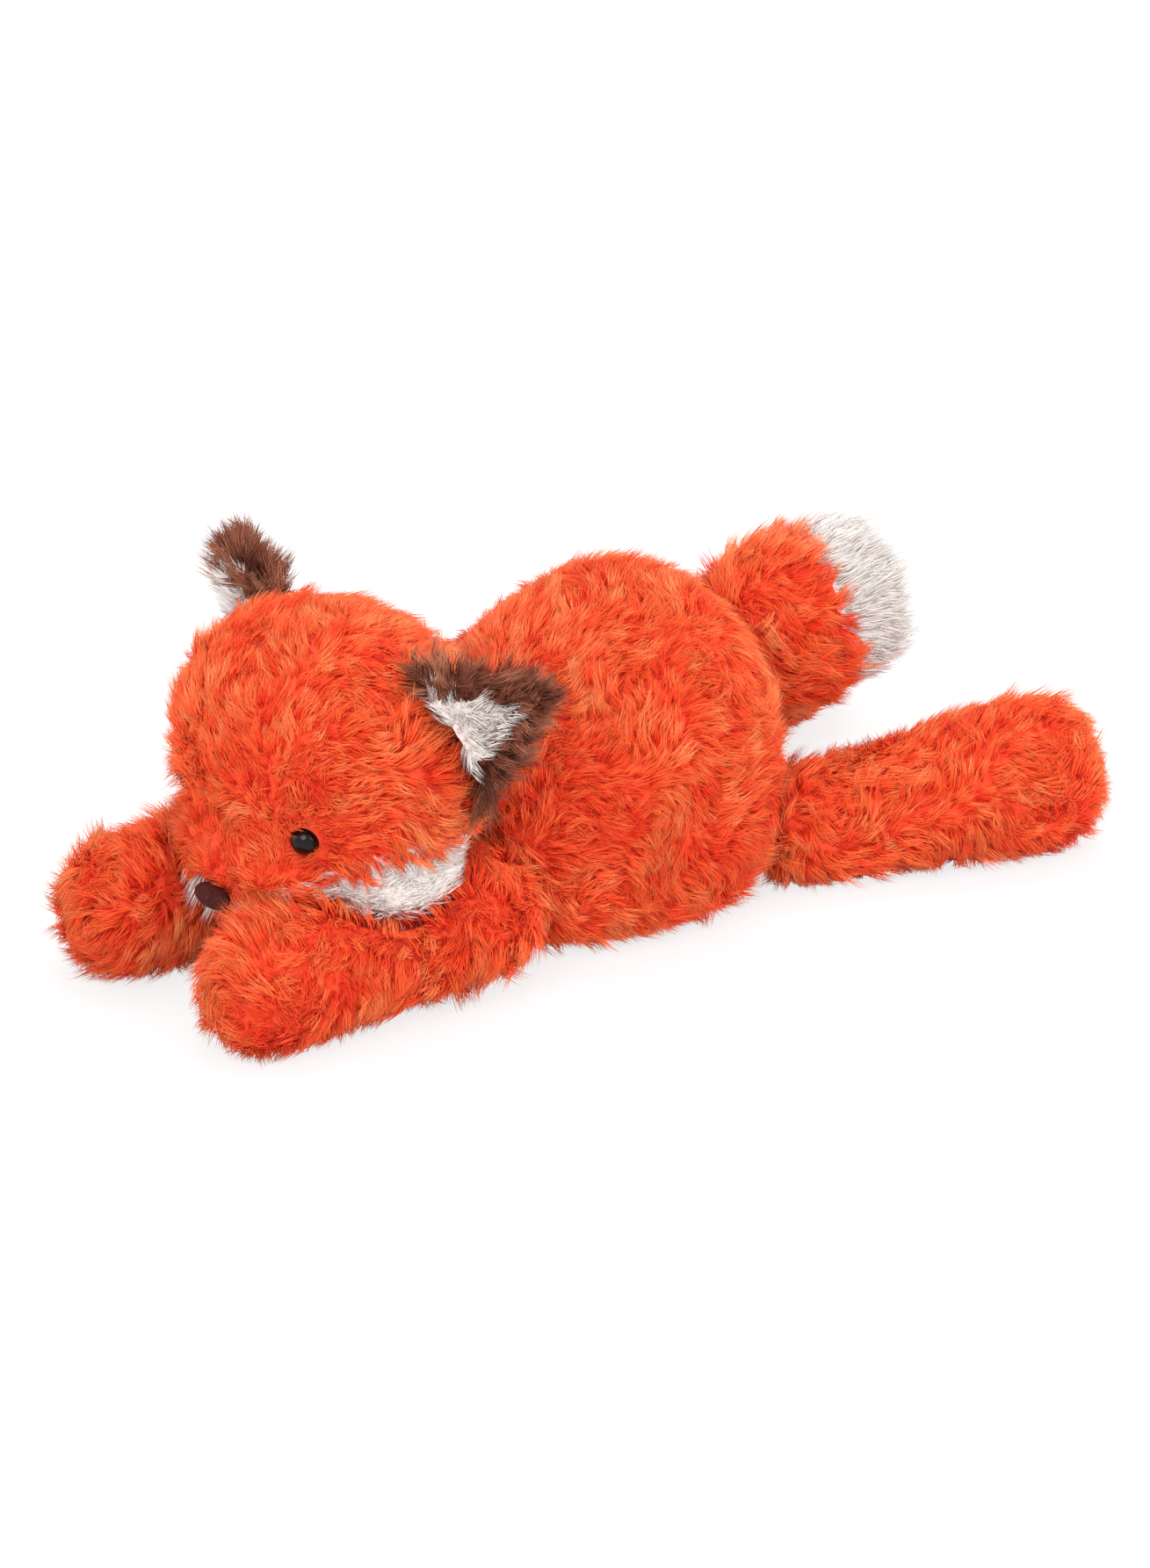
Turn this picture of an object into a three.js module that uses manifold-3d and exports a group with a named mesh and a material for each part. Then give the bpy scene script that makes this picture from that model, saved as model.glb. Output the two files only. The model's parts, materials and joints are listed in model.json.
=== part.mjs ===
// A plush fox lying on its belly, built as its sewn parts: fur-fabric panels, fibre fillings,
// a pellet pouch, two-layer ears, a padded nose and plastic eyes with their lock washers.
// Millimetres, +Z up. The fox faces -Y and its left side is +X. The belly, the front paws and
// the feet rest on Z = 0, with the origin under the middle of the belly.
import * as THREE from "three";
import { mergeVertices } from "three/addons/utils/BufferGeometryUtils.js";
import Module from "manifold-3d";

const wasm = await Module();
wasm.setup();

// Fabric, seams and clearances
const furFabricThickness = 6; // backing and the pile that lies on it
const seamGap = 0.3; // between panels sewn edge to edge, and between a cover and its filling
const seatGap = 0.4; // between a limb's root and the dimple that it is sewn into
const swingGap = 0.95; // between a moving piece and what it passes
const floorCut = 0.5; // how far each resting form is cut flat where it meets the floor
const overrun = 40; // how far a cutting piece runs past what it cuts

// Torso, a pear-shaped cushion that is fuller towards the rump
const torso = {
  width: 120,
  length: 123,
  height: 94,
  planSquare: 2.35, // as seen from above: 2 is an ellipse, and more is boxier
  square: 2.05, // the same from the side
  squareBelow: 3.6, // added towards the flattened underside
  sideSwell: 0.08, // share by which the rump is wider than the middle
  topSwell: 0.7, // share by which the rump is taller than the middle
};

// Head: a wide skull with a short muzzle and two low cheeks. Places on the head are shares of
// the skull's half sizes, counted from its middle.
const evenForm = { planSquare: 2.05, square: 2.1, squareBelow: 0, sideSwell: 0, topSwell: 0 };
const skull = { ...evenForm, width: 114, length: 88, height: 90 };
const skullTuck = 11; // how far the back of the head lies behind the torso's front
const skullHeightShare = 0.809; // of the torso's height, up to the skull's middle
const muzzle = { ...evenForm, width: 72, length: 42, height: 38, placeShares: [0, -0.65, -0.59] };
const cheek = { ...evenForm, width: 42, length: 46, height: 34, placeShares: [0.614, -0.09, -0.576] };
const jawSeamDrop = 5; // depth of the white jaw's seam below the middle of the nose
const jawSeamRise = 0.58; // climb of that seam for each unit towards a cheek, a share
const napeShares = [0, 0.955, 0.38]; // the fold at the nape, about which the head lifts
const headLift = 20; // degrees

// Front leg, called an arm: a club that widens to the paw
const arm = {
  rootRadius: 20.5,
  endRadius: 22,
  length: 79, // from the root's centre to the paw's centre
  shoulderLift: 5, // height of the root off the floor
  capDepth: 20,
  sideShare: 0.6, // of the torso's half width, out to the root
  inwardTurns: { left: 3, right: -3 }, // degrees that each arm points inwards
  sink: 5, // depth of the root in the torso
  spread: 30, // degrees that it swings outwards
};

// Hind leg, stretched out behind
const leg = {
  rootRadius: 18.5,
  endRadius: 25.5,
  length: 78.5,
  capDepth: 21,
  sideShare: 0.633,
  outwardTurn: 20, // degrees that the leg points outwards
  sink: 7,
  spread: 25,
  drawIn: 5,
};
const soleThickness = 5;

// Tail: a fat club with a white tip
const tail = {
  rootRadius: 27,
  fullRadius: 28,
  endRadius: 27,
  length: 27,
  capDepth: 17,
  sideShare: 0,
  heightShare: 0.735, // of the torso's height, up to the root
  rise: 10, // degrees that it points upwards
  sideTurn: 8, // degrees that it lies to the fox's left
  sink: 9,
  wag: 15,
};
const tipSeamAt = 14; // distance from the tail's root to the white tip's seam

// Ears: a brown back sewn to a white lining
const ear = {
  topRootShares: [0.51, 0.02, 0.84], // the two ends of its seam on the skull
  lowRootShares: [0.91, 0.41, -0.18],
  height: 51,
  tipShare: 0.49, // where the tip stands along the seam
  backTurns: { left: 9, right: 5 }, // degrees that each lies back from pointing straight out
  backThickness: 11,
  liningThickness: 5,
  liningSunk: 2, // depth of the lining's seat in the back
  liningWidthShare: 0.6,
  liningRootShare: 0.1,
  liningTipShare: 0.7,
  rootOverlap: 9, // how far the flap runs below its root line, before the head trims it
  cornerRadius: 7,
  edgeRound: 1,
  fold: 15, // degrees that it folds each way
};

// Eye: a domed plastic button on a shank, held inside the head by a lock washer
const eye = {
  radius: 4.8,
  domeHeight: 3.5,
  sideShare: 0.535,
  heightShare: -0.284,
  sunk: 2.6, // depth of the button's rim in the pile
  shankRadius: 1.6,
  shankLength: 9.5,
  clearance: 0.3,
};
const washer = { radius: 5.5, thickness: 1.2, backOff: 2.6 }; // backOff clears the curve of the fabric

// Nose: a padded oval of brown cloth on the muzzle's front
const nose = { width: 17, height: 7.5, depth: 8, slope: 34, tilt: 38 }; // degrees below level, and lean

// Pellet pouch on the belly's inside
const pouch = { width: 70, length: 80, height: 19, behind: 4 }; // behind the torso's middle

// Steps of the modelled surfaces: outer covers, then linings and fillings
const fine = { torso: [20, 12], skull: [18, 10], small: [12, 6], limb: [12, 4], cap: 3 };
const coarse = { torso: [14, 8], skull: [14, 8], small: [8, 5], limb: [8, 3], cap: 3 };
const roundSteps = 14;
const ballSteps = 20;
const mergeDistance = 1e-4;

const orange = new THREE.Color(0.87, 0.19, 0.03);
const white = new THREE.Color(0.83, 0.79, 0.78);
const brown = new THREE.Color(0.16, 0.06, 0.03);
const fur = (name, color) => new THREE.MeshStandardMaterial({ name, color, roughness: 0.95, metalness: 0 });
const materials = {
  orangeFur: fur("orange_fur", orange),
  whiteFur: fur("white_fur", white),
  brownFur: fur("brown_fur", brown),
  noseCloth: fur("nose_cloth", new THREE.Color(0.07, 0.03, 0.025)),
  fibre: fur("fibre_filling", new THREE.Color(0.9, 0.9, 0.88)),
  pouchCloth: fur("pouch_cloth", new THREE.Color(0.75, 0.75, 0.72)),
  eyePlastic: new THREE.MeshStandardMaterial({ name: "eye_plastic", color: 0x0a0808, roughness: 0.15 }),
  washerPlastic: new THREE.MeshStandardMaterial({ name: "washer_plastic", color: 0xd8d8d4, roughness: 0.5 }),
};

// Solids from three.js geometry, and back

function solidOf(geometry) {
  const bare = geometry.index ? geometry.toNonIndexed() : geometry.clone();
  bare.deleteAttribute("normal");
  bare.deleteAttribute("uv");
  const merged = mergeVertices(bare, mergeDistance);
  const build = (triVerts) =>
    new wasm.Manifold(new wasm.Mesh({ numProp: 3, vertProperties: merged.attributes.position.array, triVerts }));
  const corners = new Uint32Array(merged.index.array);
  const made = build(corners);
  if (made.volume() > 0) return made;
  for (let i = 0; i < corners.length; i += 3) [corners[i + 1], corners[i + 2]] = [corners[i + 2], corners[i + 1]];
  return build(corners);
}

function geometryOf(solid) {
  const mesh = solid.getMesh();
  const positions = new Float32Array(mesh.numVert * 3);
  for (let i = 0; i < mesh.numVert; i++) {
    positions.set(mesh.vertProperties.subarray(i * mesh.numProp, i * mesh.numProp + 3), i * 3);
  }
  return new THREE.BufferGeometry()
    .setAttribute("position", new THREE.BufferAttribute(positions, 3))
    .setIndex(new THREE.BufferAttribute(mesh.triVerts, 1));
}

const placed = (solid, matrix) => solidOf(geometryOf(solid).applyMatrix4(matrix));
const mirrored = (solid) => placed(solid, new THREE.Matrix4().makeScale(-1, 1, 1));
const unionOf = (solids) => solids.reduce((sum, next) => sum.add(next));
const radians = THREE.MathUtils.degToRad;

function turned(solid, pivot, axis, degrees) {
  const matrix = new THREE.Matrix4()
    .makeTranslation(pivot)
    .multiply(new THREE.Matrix4().makeRotationAxis(axis, radians(degrees)))
    .multiply(new THREE.Matrix4().makeTranslation(pivot.clone().negate()));
  return placed(solid, matrix);
}

// The space that a parent sweeps, as seen from a piece that turns about the pivot
function sweptPast(parent, pivot, axis, angles) {
  return unionOf(angles.map((angle) => turned(parent, pivot, axis, -angle)));
}

function anglesBetween(low, high) {
  const step = 5;
  const count = Math.ceil((high - low) / step);
  return Array.from({ length: count + 1 }, (_, i) => low + ((high - low) * i) / count);
}

function boxSolid(low, high) {
  const size = high.clone().sub(low);
  const box = new THREE.BoxGeometry(size.x, size.y, size.z);
  return solidOf(box.translate(low.x + size.x / 2, low.y + size.y / 2, low.z + size.z / 2));
}

function ball(centre, radius) {
  const sphere = new THREE.SphereGeometry(radius, ballSteps, ballSteps / 2).rotateX(Math.PI / 2);
  return solidOf(sphere.translate(centre.x, centre.y, centre.z));
}

const aboveFloor = (solid) => solid.trimByPlane([0, 0, 1], 0);

// Stuffed forms. inset draws the surface in, which gives a cover's inside and its filling.

// How far out a plump cushion's surface lies along a unit direction
function plumpReach(direction, form) {
  const power = form.square + form.squareBelow * Math.max(0, -direction.z);
  const plan = form.planSquare;
  const level = (Math.abs(direction.x) ** plan + Math.abs(direction.y) ** plan) ** (1 / plan);
  return (level ** power + Math.abs(direction.z) ** power) ** (-1 / power);
}

function plumpPoint(direction, form, centre, inset) {
  const reach = plumpReach(direction, form);
  const widen = 1 + form.sideSwell * direction.y * reach;
  const heighten = direction.z > 0 ? 1 + form.topSwell * direction.y * reach : 1;
  return new THREE.Vector3(
    centre.x + direction.x * reach * widen * (form.width / 2 - inset),
    centre.y + direction.y * reach * (form.length / 2 - inset),
    centre.z + direction.z * reach * heighten * (form.height / 2 - inset),
  );
}

function plumpSolid(form, centre, inset, [around, along]) {
  const geometry = new THREE.SphereGeometry(1, around, along).rotateX(Math.PI / 2);
  const positions = geometry.getAttribute("position");
  const direction = new THREE.Vector3();
  for (let i = 0; i < positions.count; i++) {
    direction.fromBufferAttribute(positions, i).normalize();
    const point = plumpPoint(direction, form, centre, inset);
    positions.setXYZ(i, point.x, point.y, point.z);
  }
  return solidOf(geometry);
}

// A limb is a ball at the root, a swelling shaft and a blunt cap, turned about its own axis
function limbProfile(form, inset, steps, capSteps) {
  const points = [new THREE.Vector2(0, inset - form.rootRadius)];
  for (let i = 1; i < capSteps; i++) {
    const angle = (Math.PI / 2) * (i / capSteps);
    points.push(new THREE.Vector2(Math.sin(angle), -Math.cos(angle)).multiplyScalar(form.rootRadius - inset));
  }
  for (let i = 0; i <= steps; i++) {
    const share = i / steps;
    points.push(new THREE.Vector2(form.radiusAt(share) - inset, form.length * share));
  }
  const bluntness = 2.5;
  for (let i = 1; i < capSteps; i++) {
    const angle = (Math.PI / 2) * (i / capSteps);
    const radial = Math.cos(angle) ** (2 / bluntness) * (form.endRadius - inset);
    const axial = Math.sin(angle) ** (2 / bluntness) * (form.capDepth - inset);
    points.push(new THREE.Vector2(radial, form.length + axial));
  }
  points.push(new THREE.Vector2(0, form.length + form.capDepth - inset));
  return points;
}

function limbSolid(form, root, direction, inset, [around, steps], capSteps) {
  const lathe = new THREE.LatheGeometry(limbProfile(form, inset, steps, capSteps), around);
  const turn = new THREE.Quaternion().setFromUnitVectors(new THREE.Vector3(0, 1, 0), direction);
  return solidOf(lathe.applyQuaternion(turn).translate(root.x, root.y, root.z));
}

const smooth = (share) => share * share * (3 - 2 * share);
const growing = (form) => (share) => form.rootRadius + (form.endRadius - form.rootRadius) * smooth(share);

// Torso

const torsoCentre = new THREE.Vector3(0, 0, torso.height / 2 - floorCut);
const torsoSolid = (inset, steps) => plumpSolid(torso, torsoCentre, inset, steps);

// Where the torso's skin lies at a given x and z, towards the head (-1) or the rump (1)
function torsoSkinY(x, z, towards) {
  let inside = 0;
  let outside = torso.length;
  const halvings = 24;
  for (let i = 0; i < halvings; i++) {
    const reach = (inside + outside) / 2;
    const target = new THREE.Vector3(x, towards * reach, z - torsoCentre.z);
    const direction = new THREE.Vector3(
      (target.x * 2) / torso.width,
      (target.y * 2) / torso.length,
      (target.z * 2) / torso.height,
    ).normalize();
    const skin = plumpPoint(direction, torso, torsoCentre, 0).sub(torsoCentre);
    if (target.length() < skin.length()) inside = reach;
    else outside = reach;
  }
  return torsoCentre.y + towards * inside;
}

const torsoOuter = torsoSolid(0, fine.torso);
const torsoInner = torsoSolid(furFabricThickness, coarse.torso);
const torsoStuffing = torsoSolid(furFabricThickness + seamGap, coarse.torso);
const torsoClear = torsoSolid(-swingGap, fine.torso);

// Limbs on the fox's left, in place and ready to be cut

const upAxis = new THREE.Vector3(0, 0, 1);

function limbPlace(form, z, direction, towards) {
  const x = (form.sideShare * torso.width) / 2;
  const y = torsoSkinY(x, z, towards) + towards * (form.rootRadius - form.sink);
  return { root: new THREE.Vector3(x, y, z), direction: direction.normalize() };
}

function restingDirection(form, turnDegrees, towards, rootLift = 0) {
  const run = form.length;
  const climb = form.endRadius - form.rootRadius - rootLift;
  const turn = radians(turnDegrees);
  return new THREE.Vector3(Math.sin(turn) * run, towards * Math.cos(turn) * run, climb);
}

arm.radiusAt = growing(arm);
leg.radiusAt = growing(leg);
tail.radiusAt = (share) => {
  const swellEndsShare = 0.42;
  if (share < swellEndsShare) {
    return tail.rootRadius + (tail.fullRadius - tail.rootRadius) * Math.sin(((Math.PI / 2) * share) / swellEndsShare);
  }
  const rest = (share - swellEndsShare) / (1 - swellEndsShare);
  return tail.fullRadius + (tail.endRadius - tail.fullRadius) * rest;
};

const armRootHeight = arm.rootRadius - floorCut + arm.shoulderLift;
const armPlaces = {};
for (const side of ["left", "right"]) {
  const direction = restingDirection(arm, -arm.inwardTurns[side], -1, arm.shoulderLift);
  armPlaces[side] = limbPlace(arm, armRootHeight, direction, -1);
}
const legPlace = limbPlace(leg, leg.rootRadius - floorCut, restingDirection(leg, leg.outwardTurn, 1), 1);
const tailDirection = new THREE.Vector3(
  Math.sin(radians(tail.sideTurn)),
  Math.cos(radians(tail.sideTurn)),
  Math.tan(radians(tail.rise)),
);
const tailPlace = limbPlace(tail, tail.heightShare * torso.height, tailDirection, 1);

// A limb's three solids: its outside, the inside of its cover, and its filling
function limbLayers(form, place) {
  const layer = (inset, step) => limbSolid(form, place.root, place.direction, inset, step.limb, step.cap);
  return {
    outer: layer(0, fine),
    inner: layer(furFabricThickness, coarse),
    stuffing: layer(furFabricThickness + seamGap, coarse),
  };
}

// Everything but the root's ball is trimmed clear of the parent over the whole swing
function seatLimb(layers, form, place, parents, angles) {
  const rootBall = ball(place.root, form.rootRadius).intersect(layers.outer);
  const swept = sweptPast(parents, place.root, upAxis, angles);
  const outer = aboveFloor(layers.outer.subtract(swept).add(rootBall));
  const cover = outer.subtract(layers.inner);
  return { outer, cover, filling: layers.stuffing.intersect(outer) };
}

// The dimple clears the ball's corners however the ball turns about its upright axis
const socketFor = (form, place) => ball(place.root, (form.rootRadius + seatGap) / Math.cos(Math.PI / ballSteps));

// Head

const headCentre = new THREE.Vector3(
  0,
  skullTuck - torso.length / 2 - skull.length / 2,
  skullHeightShare * torso.height,
);
const skullHalf = new THREE.Vector3(skull.width, skull.length, skull.height).divideScalar(2);
const onHead = (shares) => new THREE.Vector3(...shares).multiply(skullHalf).add(headCentre);

function headSolid(inset, steps) {
  const bump = (form, side) => {
    const place = onHead(form.placeShares);
    place.x *= side;
    return plumpSolid(form, place, inset, steps.small);
  };
  return unionOf([plumpSolid(skull, headCentre, inset, steps.skull), bump(muzzle, 1), bump(cheek, 1), bump(cheek, -1)]);
}

const napePivot = onHead(napeShares);
const liftAxis = new THREE.Vector3(-1, 0, 0);
const headForm = headSolid(0, fine);
const headTrim = sweptPast(torsoClear, napePivot, liftAxis, anglesBetween(0, headLift));
const headOuter = headForm.subtract(headTrim);
const headInner = headSolid(furFabricThickness, coarse);
const headStuffing = headSolid(furFabricThickness + seamGap, coarse).intersect(headOuter);

// The space that the head's swing takes from the arms
const headReach = headSolid(-swingGap, fine);

// Ears, in a flat frame of their own: x runs down the root line, y to the tip, z out of the front

const earTop = onHead(ear.topRootShares);
const earLow = onHead(ear.lowRootShares);
const earAxis = earLow.clone().sub(earTop).normalize();
const earSpan = earLow.distanceTo(earTop);
const earMiddle = earTop.clone().addScaledVector(earAxis, earSpan / 2);
const straightOut = earMiddle.clone().sub(headCentre).projectOnPlane(earAxis).normalize();
const tipAlong = ear.tipShare * earSpan;
const earFrames = {};
for (const side of ["left", "right"]) {
  const outwards = straightOut.clone().applyAxisAngle(earAxis, -radians(ear.backTurns[side]));
  const forwards = earAxis.clone().cross(outwards).normalize();
  earFrames[side] = new THREE.Matrix4().makeBasis(earAxis, outwards, forwards).setPosition(earTop);
}

function roundedOutline(corners, radius) {
  const shape = new THREE.Shape();
  corners.forEach((corner, i) => {
    const before = corners[(i + corners.length - 1) % corners.length].clone().sub(corner);
    const after = corners[(i + 1) % corners.length].clone().sub(corner);
    const roomShare = 0.45; // of an edge, so that the two corners on it don't meet
    const start = corner.clone().add(before.clone().setLength(Math.min(radius, before.length() * roomShare)));
    const end = corner.clone().add(after.clone().setLength(Math.min(radius, after.length() * roomShare)));
    if (i === 0) shape.moveTo(start.x, start.y);
    else shape.lineTo(start.x, start.y);
    shape.quadraticCurveTo(corner.x, corner.y, end.x, end.y);
  });
  shape.closePath();
  return shape;
}

// A flat piece with rounded edges, grown all round by a clearance where one is given
function earSlab(frame, corners, radius, low, high, grow = 0) {
  const bevel = ear.edgeRound;
  const options = {
    depth: high - low - 2 * bevel,
    bevelEnabled: true,
    bevelThickness: bevel,
    bevelSize: bevel,
    bevelOffset: grow - bevel,
    bevelSegments: 2,
    curveSegments: 4,
  };
  const slab = new THREE.ExtrudeGeometry(roundedOutline(corners, radius), options);
  return solidOf(slab.translate(0, 0, low + bevel).applyMatrix4(frame));
}

const earBackCorners = [
  new THREE.Vector2(0, -ear.rootOverlap),
  new THREE.Vector2(earSpan, -ear.rootOverlap),
  new THREE.Vector2(earSpan, 0),
  new THREE.Vector2(tipAlong, ear.height),
  new THREE.Vector2(0, 0),
];
const liningMiddle = (earSpan * (1 - ear.liningRootShare)) / 2 + (tipAlong * ear.liningRootShare) / 2;
const liningCorners = [
  new THREE.Vector2(liningMiddle - (earSpan * ear.liningWidthShare) / 2, -ear.rootOverlap),
  new THREE.Vector2(liningMiddle + (earSpan * ear.liningWidthShare) / 2, -ear.rootOverlap),
  new THREE.Vector2(liningMiddle + (earSpan * ear.liningWidthShare) / 2, ear.liningRootShare * ear.height),
  new THREE.Vector2(tipAlong * ear.liningTipShare + liningMiddle * (1 - ear.liningTipShare), ear.height * ear.liningTipShare),
  new THREE.Vector2(liningMiddle - (earSpan * ear.liningWidthShare) / 2, ear.liningRootShare * ear.height),
];
const backFront = ear.backThickness / 2;
const liningBack = backFront - ear.liningSunk;
const earTrim = sweptPast(headReach, earMiddle, earAxis, anglesBetween(-ear.fold, ear.fold));
const liningRadius = ear.cornerRadius / 2;
const earsAsLeft = {};
for (const side of ["left", "right"]) {
  const frame = earFrames[side];
  const seat = earSlab(frame, liningCorners, liningRadius, liningBack - seamGap, overrun, seamGap);
  earsAsLeft[side] = {
    lining: earSlab(frame, liningCorners, liningRadius, liningBack, liningBack + ear.liningThickness).subtract(earTrim),
    back: earSlab(frame, earBackCorners, ear.cornerRadius, -backFront, backFront).subtract(earTrim).subtract(seat),
  };
}

// Eyes: the dome sits a little below the pile's tips, square to the face

// The skull's skin in front of a point of the head given in shares, and the way it faces
function faceSkin(sideShare, heightShare) {
  const frontShare = -Math.sqrt(1 - sideShare ** 2 - heightShare ** 2);
  const shares = new THREE.Vector3(sideShare, frontShare, heightShare);
  return { point: onHead(shares.toArray()), outwards: shares.divide(skullHalf).normalize() };
}

const eyeSkin = faceSkin(eye.sideShare, eye.heightShare);
const eyeSeat = eyeSkin.point.clone().addScaledVector(eyeSkin.outwards, -eye.sunk);
const eyeTurn = new THREE.Quaternion().setFromUnitVectors(new THREE.Vector3(0, 1, 0), eyeSkin.outwards);
const onEyeAxis = (geometry) => solidOf(geometry.applyQuaternion(eyeTurn).translate(eyeSeat.x, eyeSeat.y, eyeSeat.z));

function eyeProfile(radius, domeHeight, shankRadius, shankLength) {
  const points = [new THREE.Vector2(0, -shankLength), new THREE.Vector2(shankRadius, -shankLength)];
  points.push(new THREE.Vector2(shankRadius, 0));
  const domeSteps = 5;
  for (let i = 0; i < domeSteps; i++) {
    const angle = (Math.PI / 2) * (i / domeSteps);
    points.push(new THREE.Vector2(Math.cos(angle) * radius, Math.sin(angle) * domeHeight));
  }
  points.push(new THREE.Vector2(0, domeHeight));
  return points;
}

const eyeButton = onEyeAxis(
  new THREE.LatheGeometry(eyeProfile(eye.radius, eye.domeHeight, eye.shankRadius, eye.shankLength), roundSteps),
);
const washerTop = eye.sunk - furFabricThickness - washer.backOff;
const ringProfile = (inner, outer, low, high) => [
  new THREE.Vector2(inner, low),
  new THREE.Vector2(outer, low),
  new THREE.Vector2(outer, high),
  new THREE.Vector2(inner, high),
  new THREE.Vector2(inner, low),
];
const eyeWasher = onEyeAxis(
  new THREE.LatheGeometry(
    ringProfile(eye.shankRadius + eye.clearance, washer.radius, washerTop - washer.thickness, washerTop),
    roundSteps,
  ),
);
const plug = (radius, low, high) => {
  const cylinder = new THREE.CylinderGeometry(radius, radius, high - low, roundSteps);
  return onEyeAxis(cylinder.translate(0, (low + high) / 2, 0));
};
// The hole through the fabric, the dimple round the dome, and the room for the washer in the filling
const eyeHole = plug(eye.shankRadius + eye.clearance, -overrun / 2, overrun / 2).add(
  plug(eye.radius + eye.clearance, -eye.clearance, overrun / 2),
);
const washerRoom = plug(washer.radius + eye.clearance, washerTop - washer.thickness - eye.clearance, overrun / 2).add(
  plug(eye.shankRadius + eye.clearance, -eye.shankLength - eye.clearance, 0),
);
const bothSides = (solid) => solid.add(mirrored(solid));
const largestPart = (solid) => solid.decompose().reduce((most, part) => (part.volume() > most.volume() ? part : most));

// Nose: an oval pad let into the muzzle's tip

const noseDown = radians(nose.slope);
const noseSide = new THREE.Vector3(0, -Math.cos(noseDown), -Math.sin(noseDown));
const noseCentre = plumpPoint(noseSide, muzzle, onHead(muzzle.placeShares), 0);

function nosePad(grow) {
  const pad = new THREE.SphereGeometry(1, roundSteps, roundSteps / 2);
  pad.scale(nose.width / 2 + grow, nose.depth / 2 + grow, nose.height / 2 + grow);
  return solidOf(pad.rotateX(radians(nose.tilt)).translate(0, noseCentre.y, noseCentre.z));
}

// The seam between the orange face and the white jaw rises from the nose to both cheeks
const jawNormal = new THREE.Vector3(-jawSeamRise, 0, 1).normalize();
const jawOffset = jawNormal.dot(new THREE.Vector3(0, 0, noseCentre.z - jawSeamDrop));
const faceSide = (solid) => solid.trimByPlane(jawNormal.toArray(), jawOffset + seamGap / 2);
const jawSide = (solid) => solid.trimByPlane(jawNormal.clone().negate().toArray(), -jawOffset + seamGap / 2);
const leftOf = (solid, x = seamGap / 2) => solid.trimByPlane([1, 0, 0], x);
const rightOf = (solid) => solid.trimByPlane([-1, 0, 0], seamGap / 2);

const headCover = headOuter
  .subtract(headInner)
  .subtract(bothSides(eyeHole))
  .subtract(nosePad(seamGap));
const headFilling = headStuffing.subtract(bothSides(washerRoom)).subtract(nosePad(seamGap));

// Seated limbs. The arms are trimmed by the head too, which lies over them. Both arms are made as
// left ones, each with an upper and a lower panel, and the right one is mirrored into place.

const armSwing = anglesBetween(0, arm.spread);
const legSwing = anglesBetween(-leg.drawIn, leg.spread);
const tailSwing = anglesBetween(-tail.wag, tail.wag);
const armsAsLeft = {};
for (const side of ["left", "right"]) {
  const place = armPlaces[side];
  const { cover, filling } = seatLimb(limbLayers(arm, place), arm, place, torsoClear.add(headReach), armSwing);
  const normal = upAxis.clone().addScaledVector(place.direction, -place.direction.z).normalize();
  const offset = normal.dot(place.root);
  const upper = cover.trimByPlane(normal.toArray(), offset + seamGap / 2);
  const lower = cover.trimByPlane(normal.clone().negate().toArray(), -offset + seamGap / 2);
  armsAsLeft[side] = { upper, lower, filling };
}
const leftLeg = seatLimb(limbLayers(leg, legPlace), leg, legPlace, torsoClear, legSwing.map((angle) => -angle));
const tailParts = seatLimb(limbLayers(tail, tailPlace), tail, tailPlace, torsoClear, tailSwing);

// Torso panels, with the dimples that the limbs are sewn into

const limbSockets = unionOf([
  bothSides(socketFor(arm, armPlaces.left)),
  bothSides(socketFor(leg, legPlace)),
  socketFor(tail, tailPlace),
]);
const torsoCover = aboveFloor(torsoOuter).subtract(torsoInner).subtract(limbSockets);
const bellySeamZ = torso.height / 5;
const backPart = torsoCover.trimByPlane([0, 0, 1], bellySeamZ + seamGap / 2);
const bellyPanel = torsoCover.trimByPlane([0, 0, -1], -bellySeamZ + seamGap / 2);

function pouchBlock(grow, low) {
  const block = new THREE.CylinderGeometry(1, 1, pouch.height + grow - low, roundSteps).rotateX(Math.PI / 2);
  block.scale(pouch.width / 2 + grow, pouch.length / 2 + grow, 1);
  return solidOf(block.translate(0, pouch.behind, furFabricThickness + (pouch.height + grow + low) / 2));
}
const pelletPouch = torsoStuffing.intersect(pouchBlock(0, -overrun));
const torsoFilling = torsoStuffing.subtract(pouchBlock(seamGap, -overrun)).subtract(limbSockets);

// Leg and tail panels: each leg has two sides and a sole

const soleAt = legPlace.direction.dot(legPlace.root) + leg.length + leg.capDepth - soleThickness;
const legShaft = leftLeg.cover.trimByPlane(legPlace.direction.clone().negate().toArray(), -soleAt + seamGap / 2);
const legSole = leftLeg.cover.trimByPlane(legPlace.direction.toArray(), soleAt + seamGap / 2);
const legAcross = legPlace.direction.clone().cross(upAxis).normalize();
const legOffset = legAcross.dot(legPlace.root);
const legOuter = legShaft.trimByPlane(legAcross.toArray(), legOffset + seamGap / 2);
const legInner = legShaft.trimByPlane(legAcross.clone().negate().toArray(), -legOffset + seamGap / 2);

const tipSeam = tailPlace.direction.dot(tailPlace.root) + tipSeamAt;
const tailCover = tailParts.cover.trimByPlane(tailPlace.direction.clone().negate().toArray(), -tipSeam + seamGap / 2);
const tailTip = tailParts.cover.trimByPlane(tailPlace.direction.toArray(), tipSeam + seamGap / 2);

// The fox, as groups that turn about their seams

const fox = new THREE.Group();

function bodyGroup(parent, pivot) {
  const group = new THREE.Group();
  const parentPivot = parent.userData.pivot ?? new THREE.Vector3();
  group.userData.pivot = pivot;
  group.position.copy(pivot).sub(parentPivot);
  parent.add(group);
  return group;
}

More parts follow.
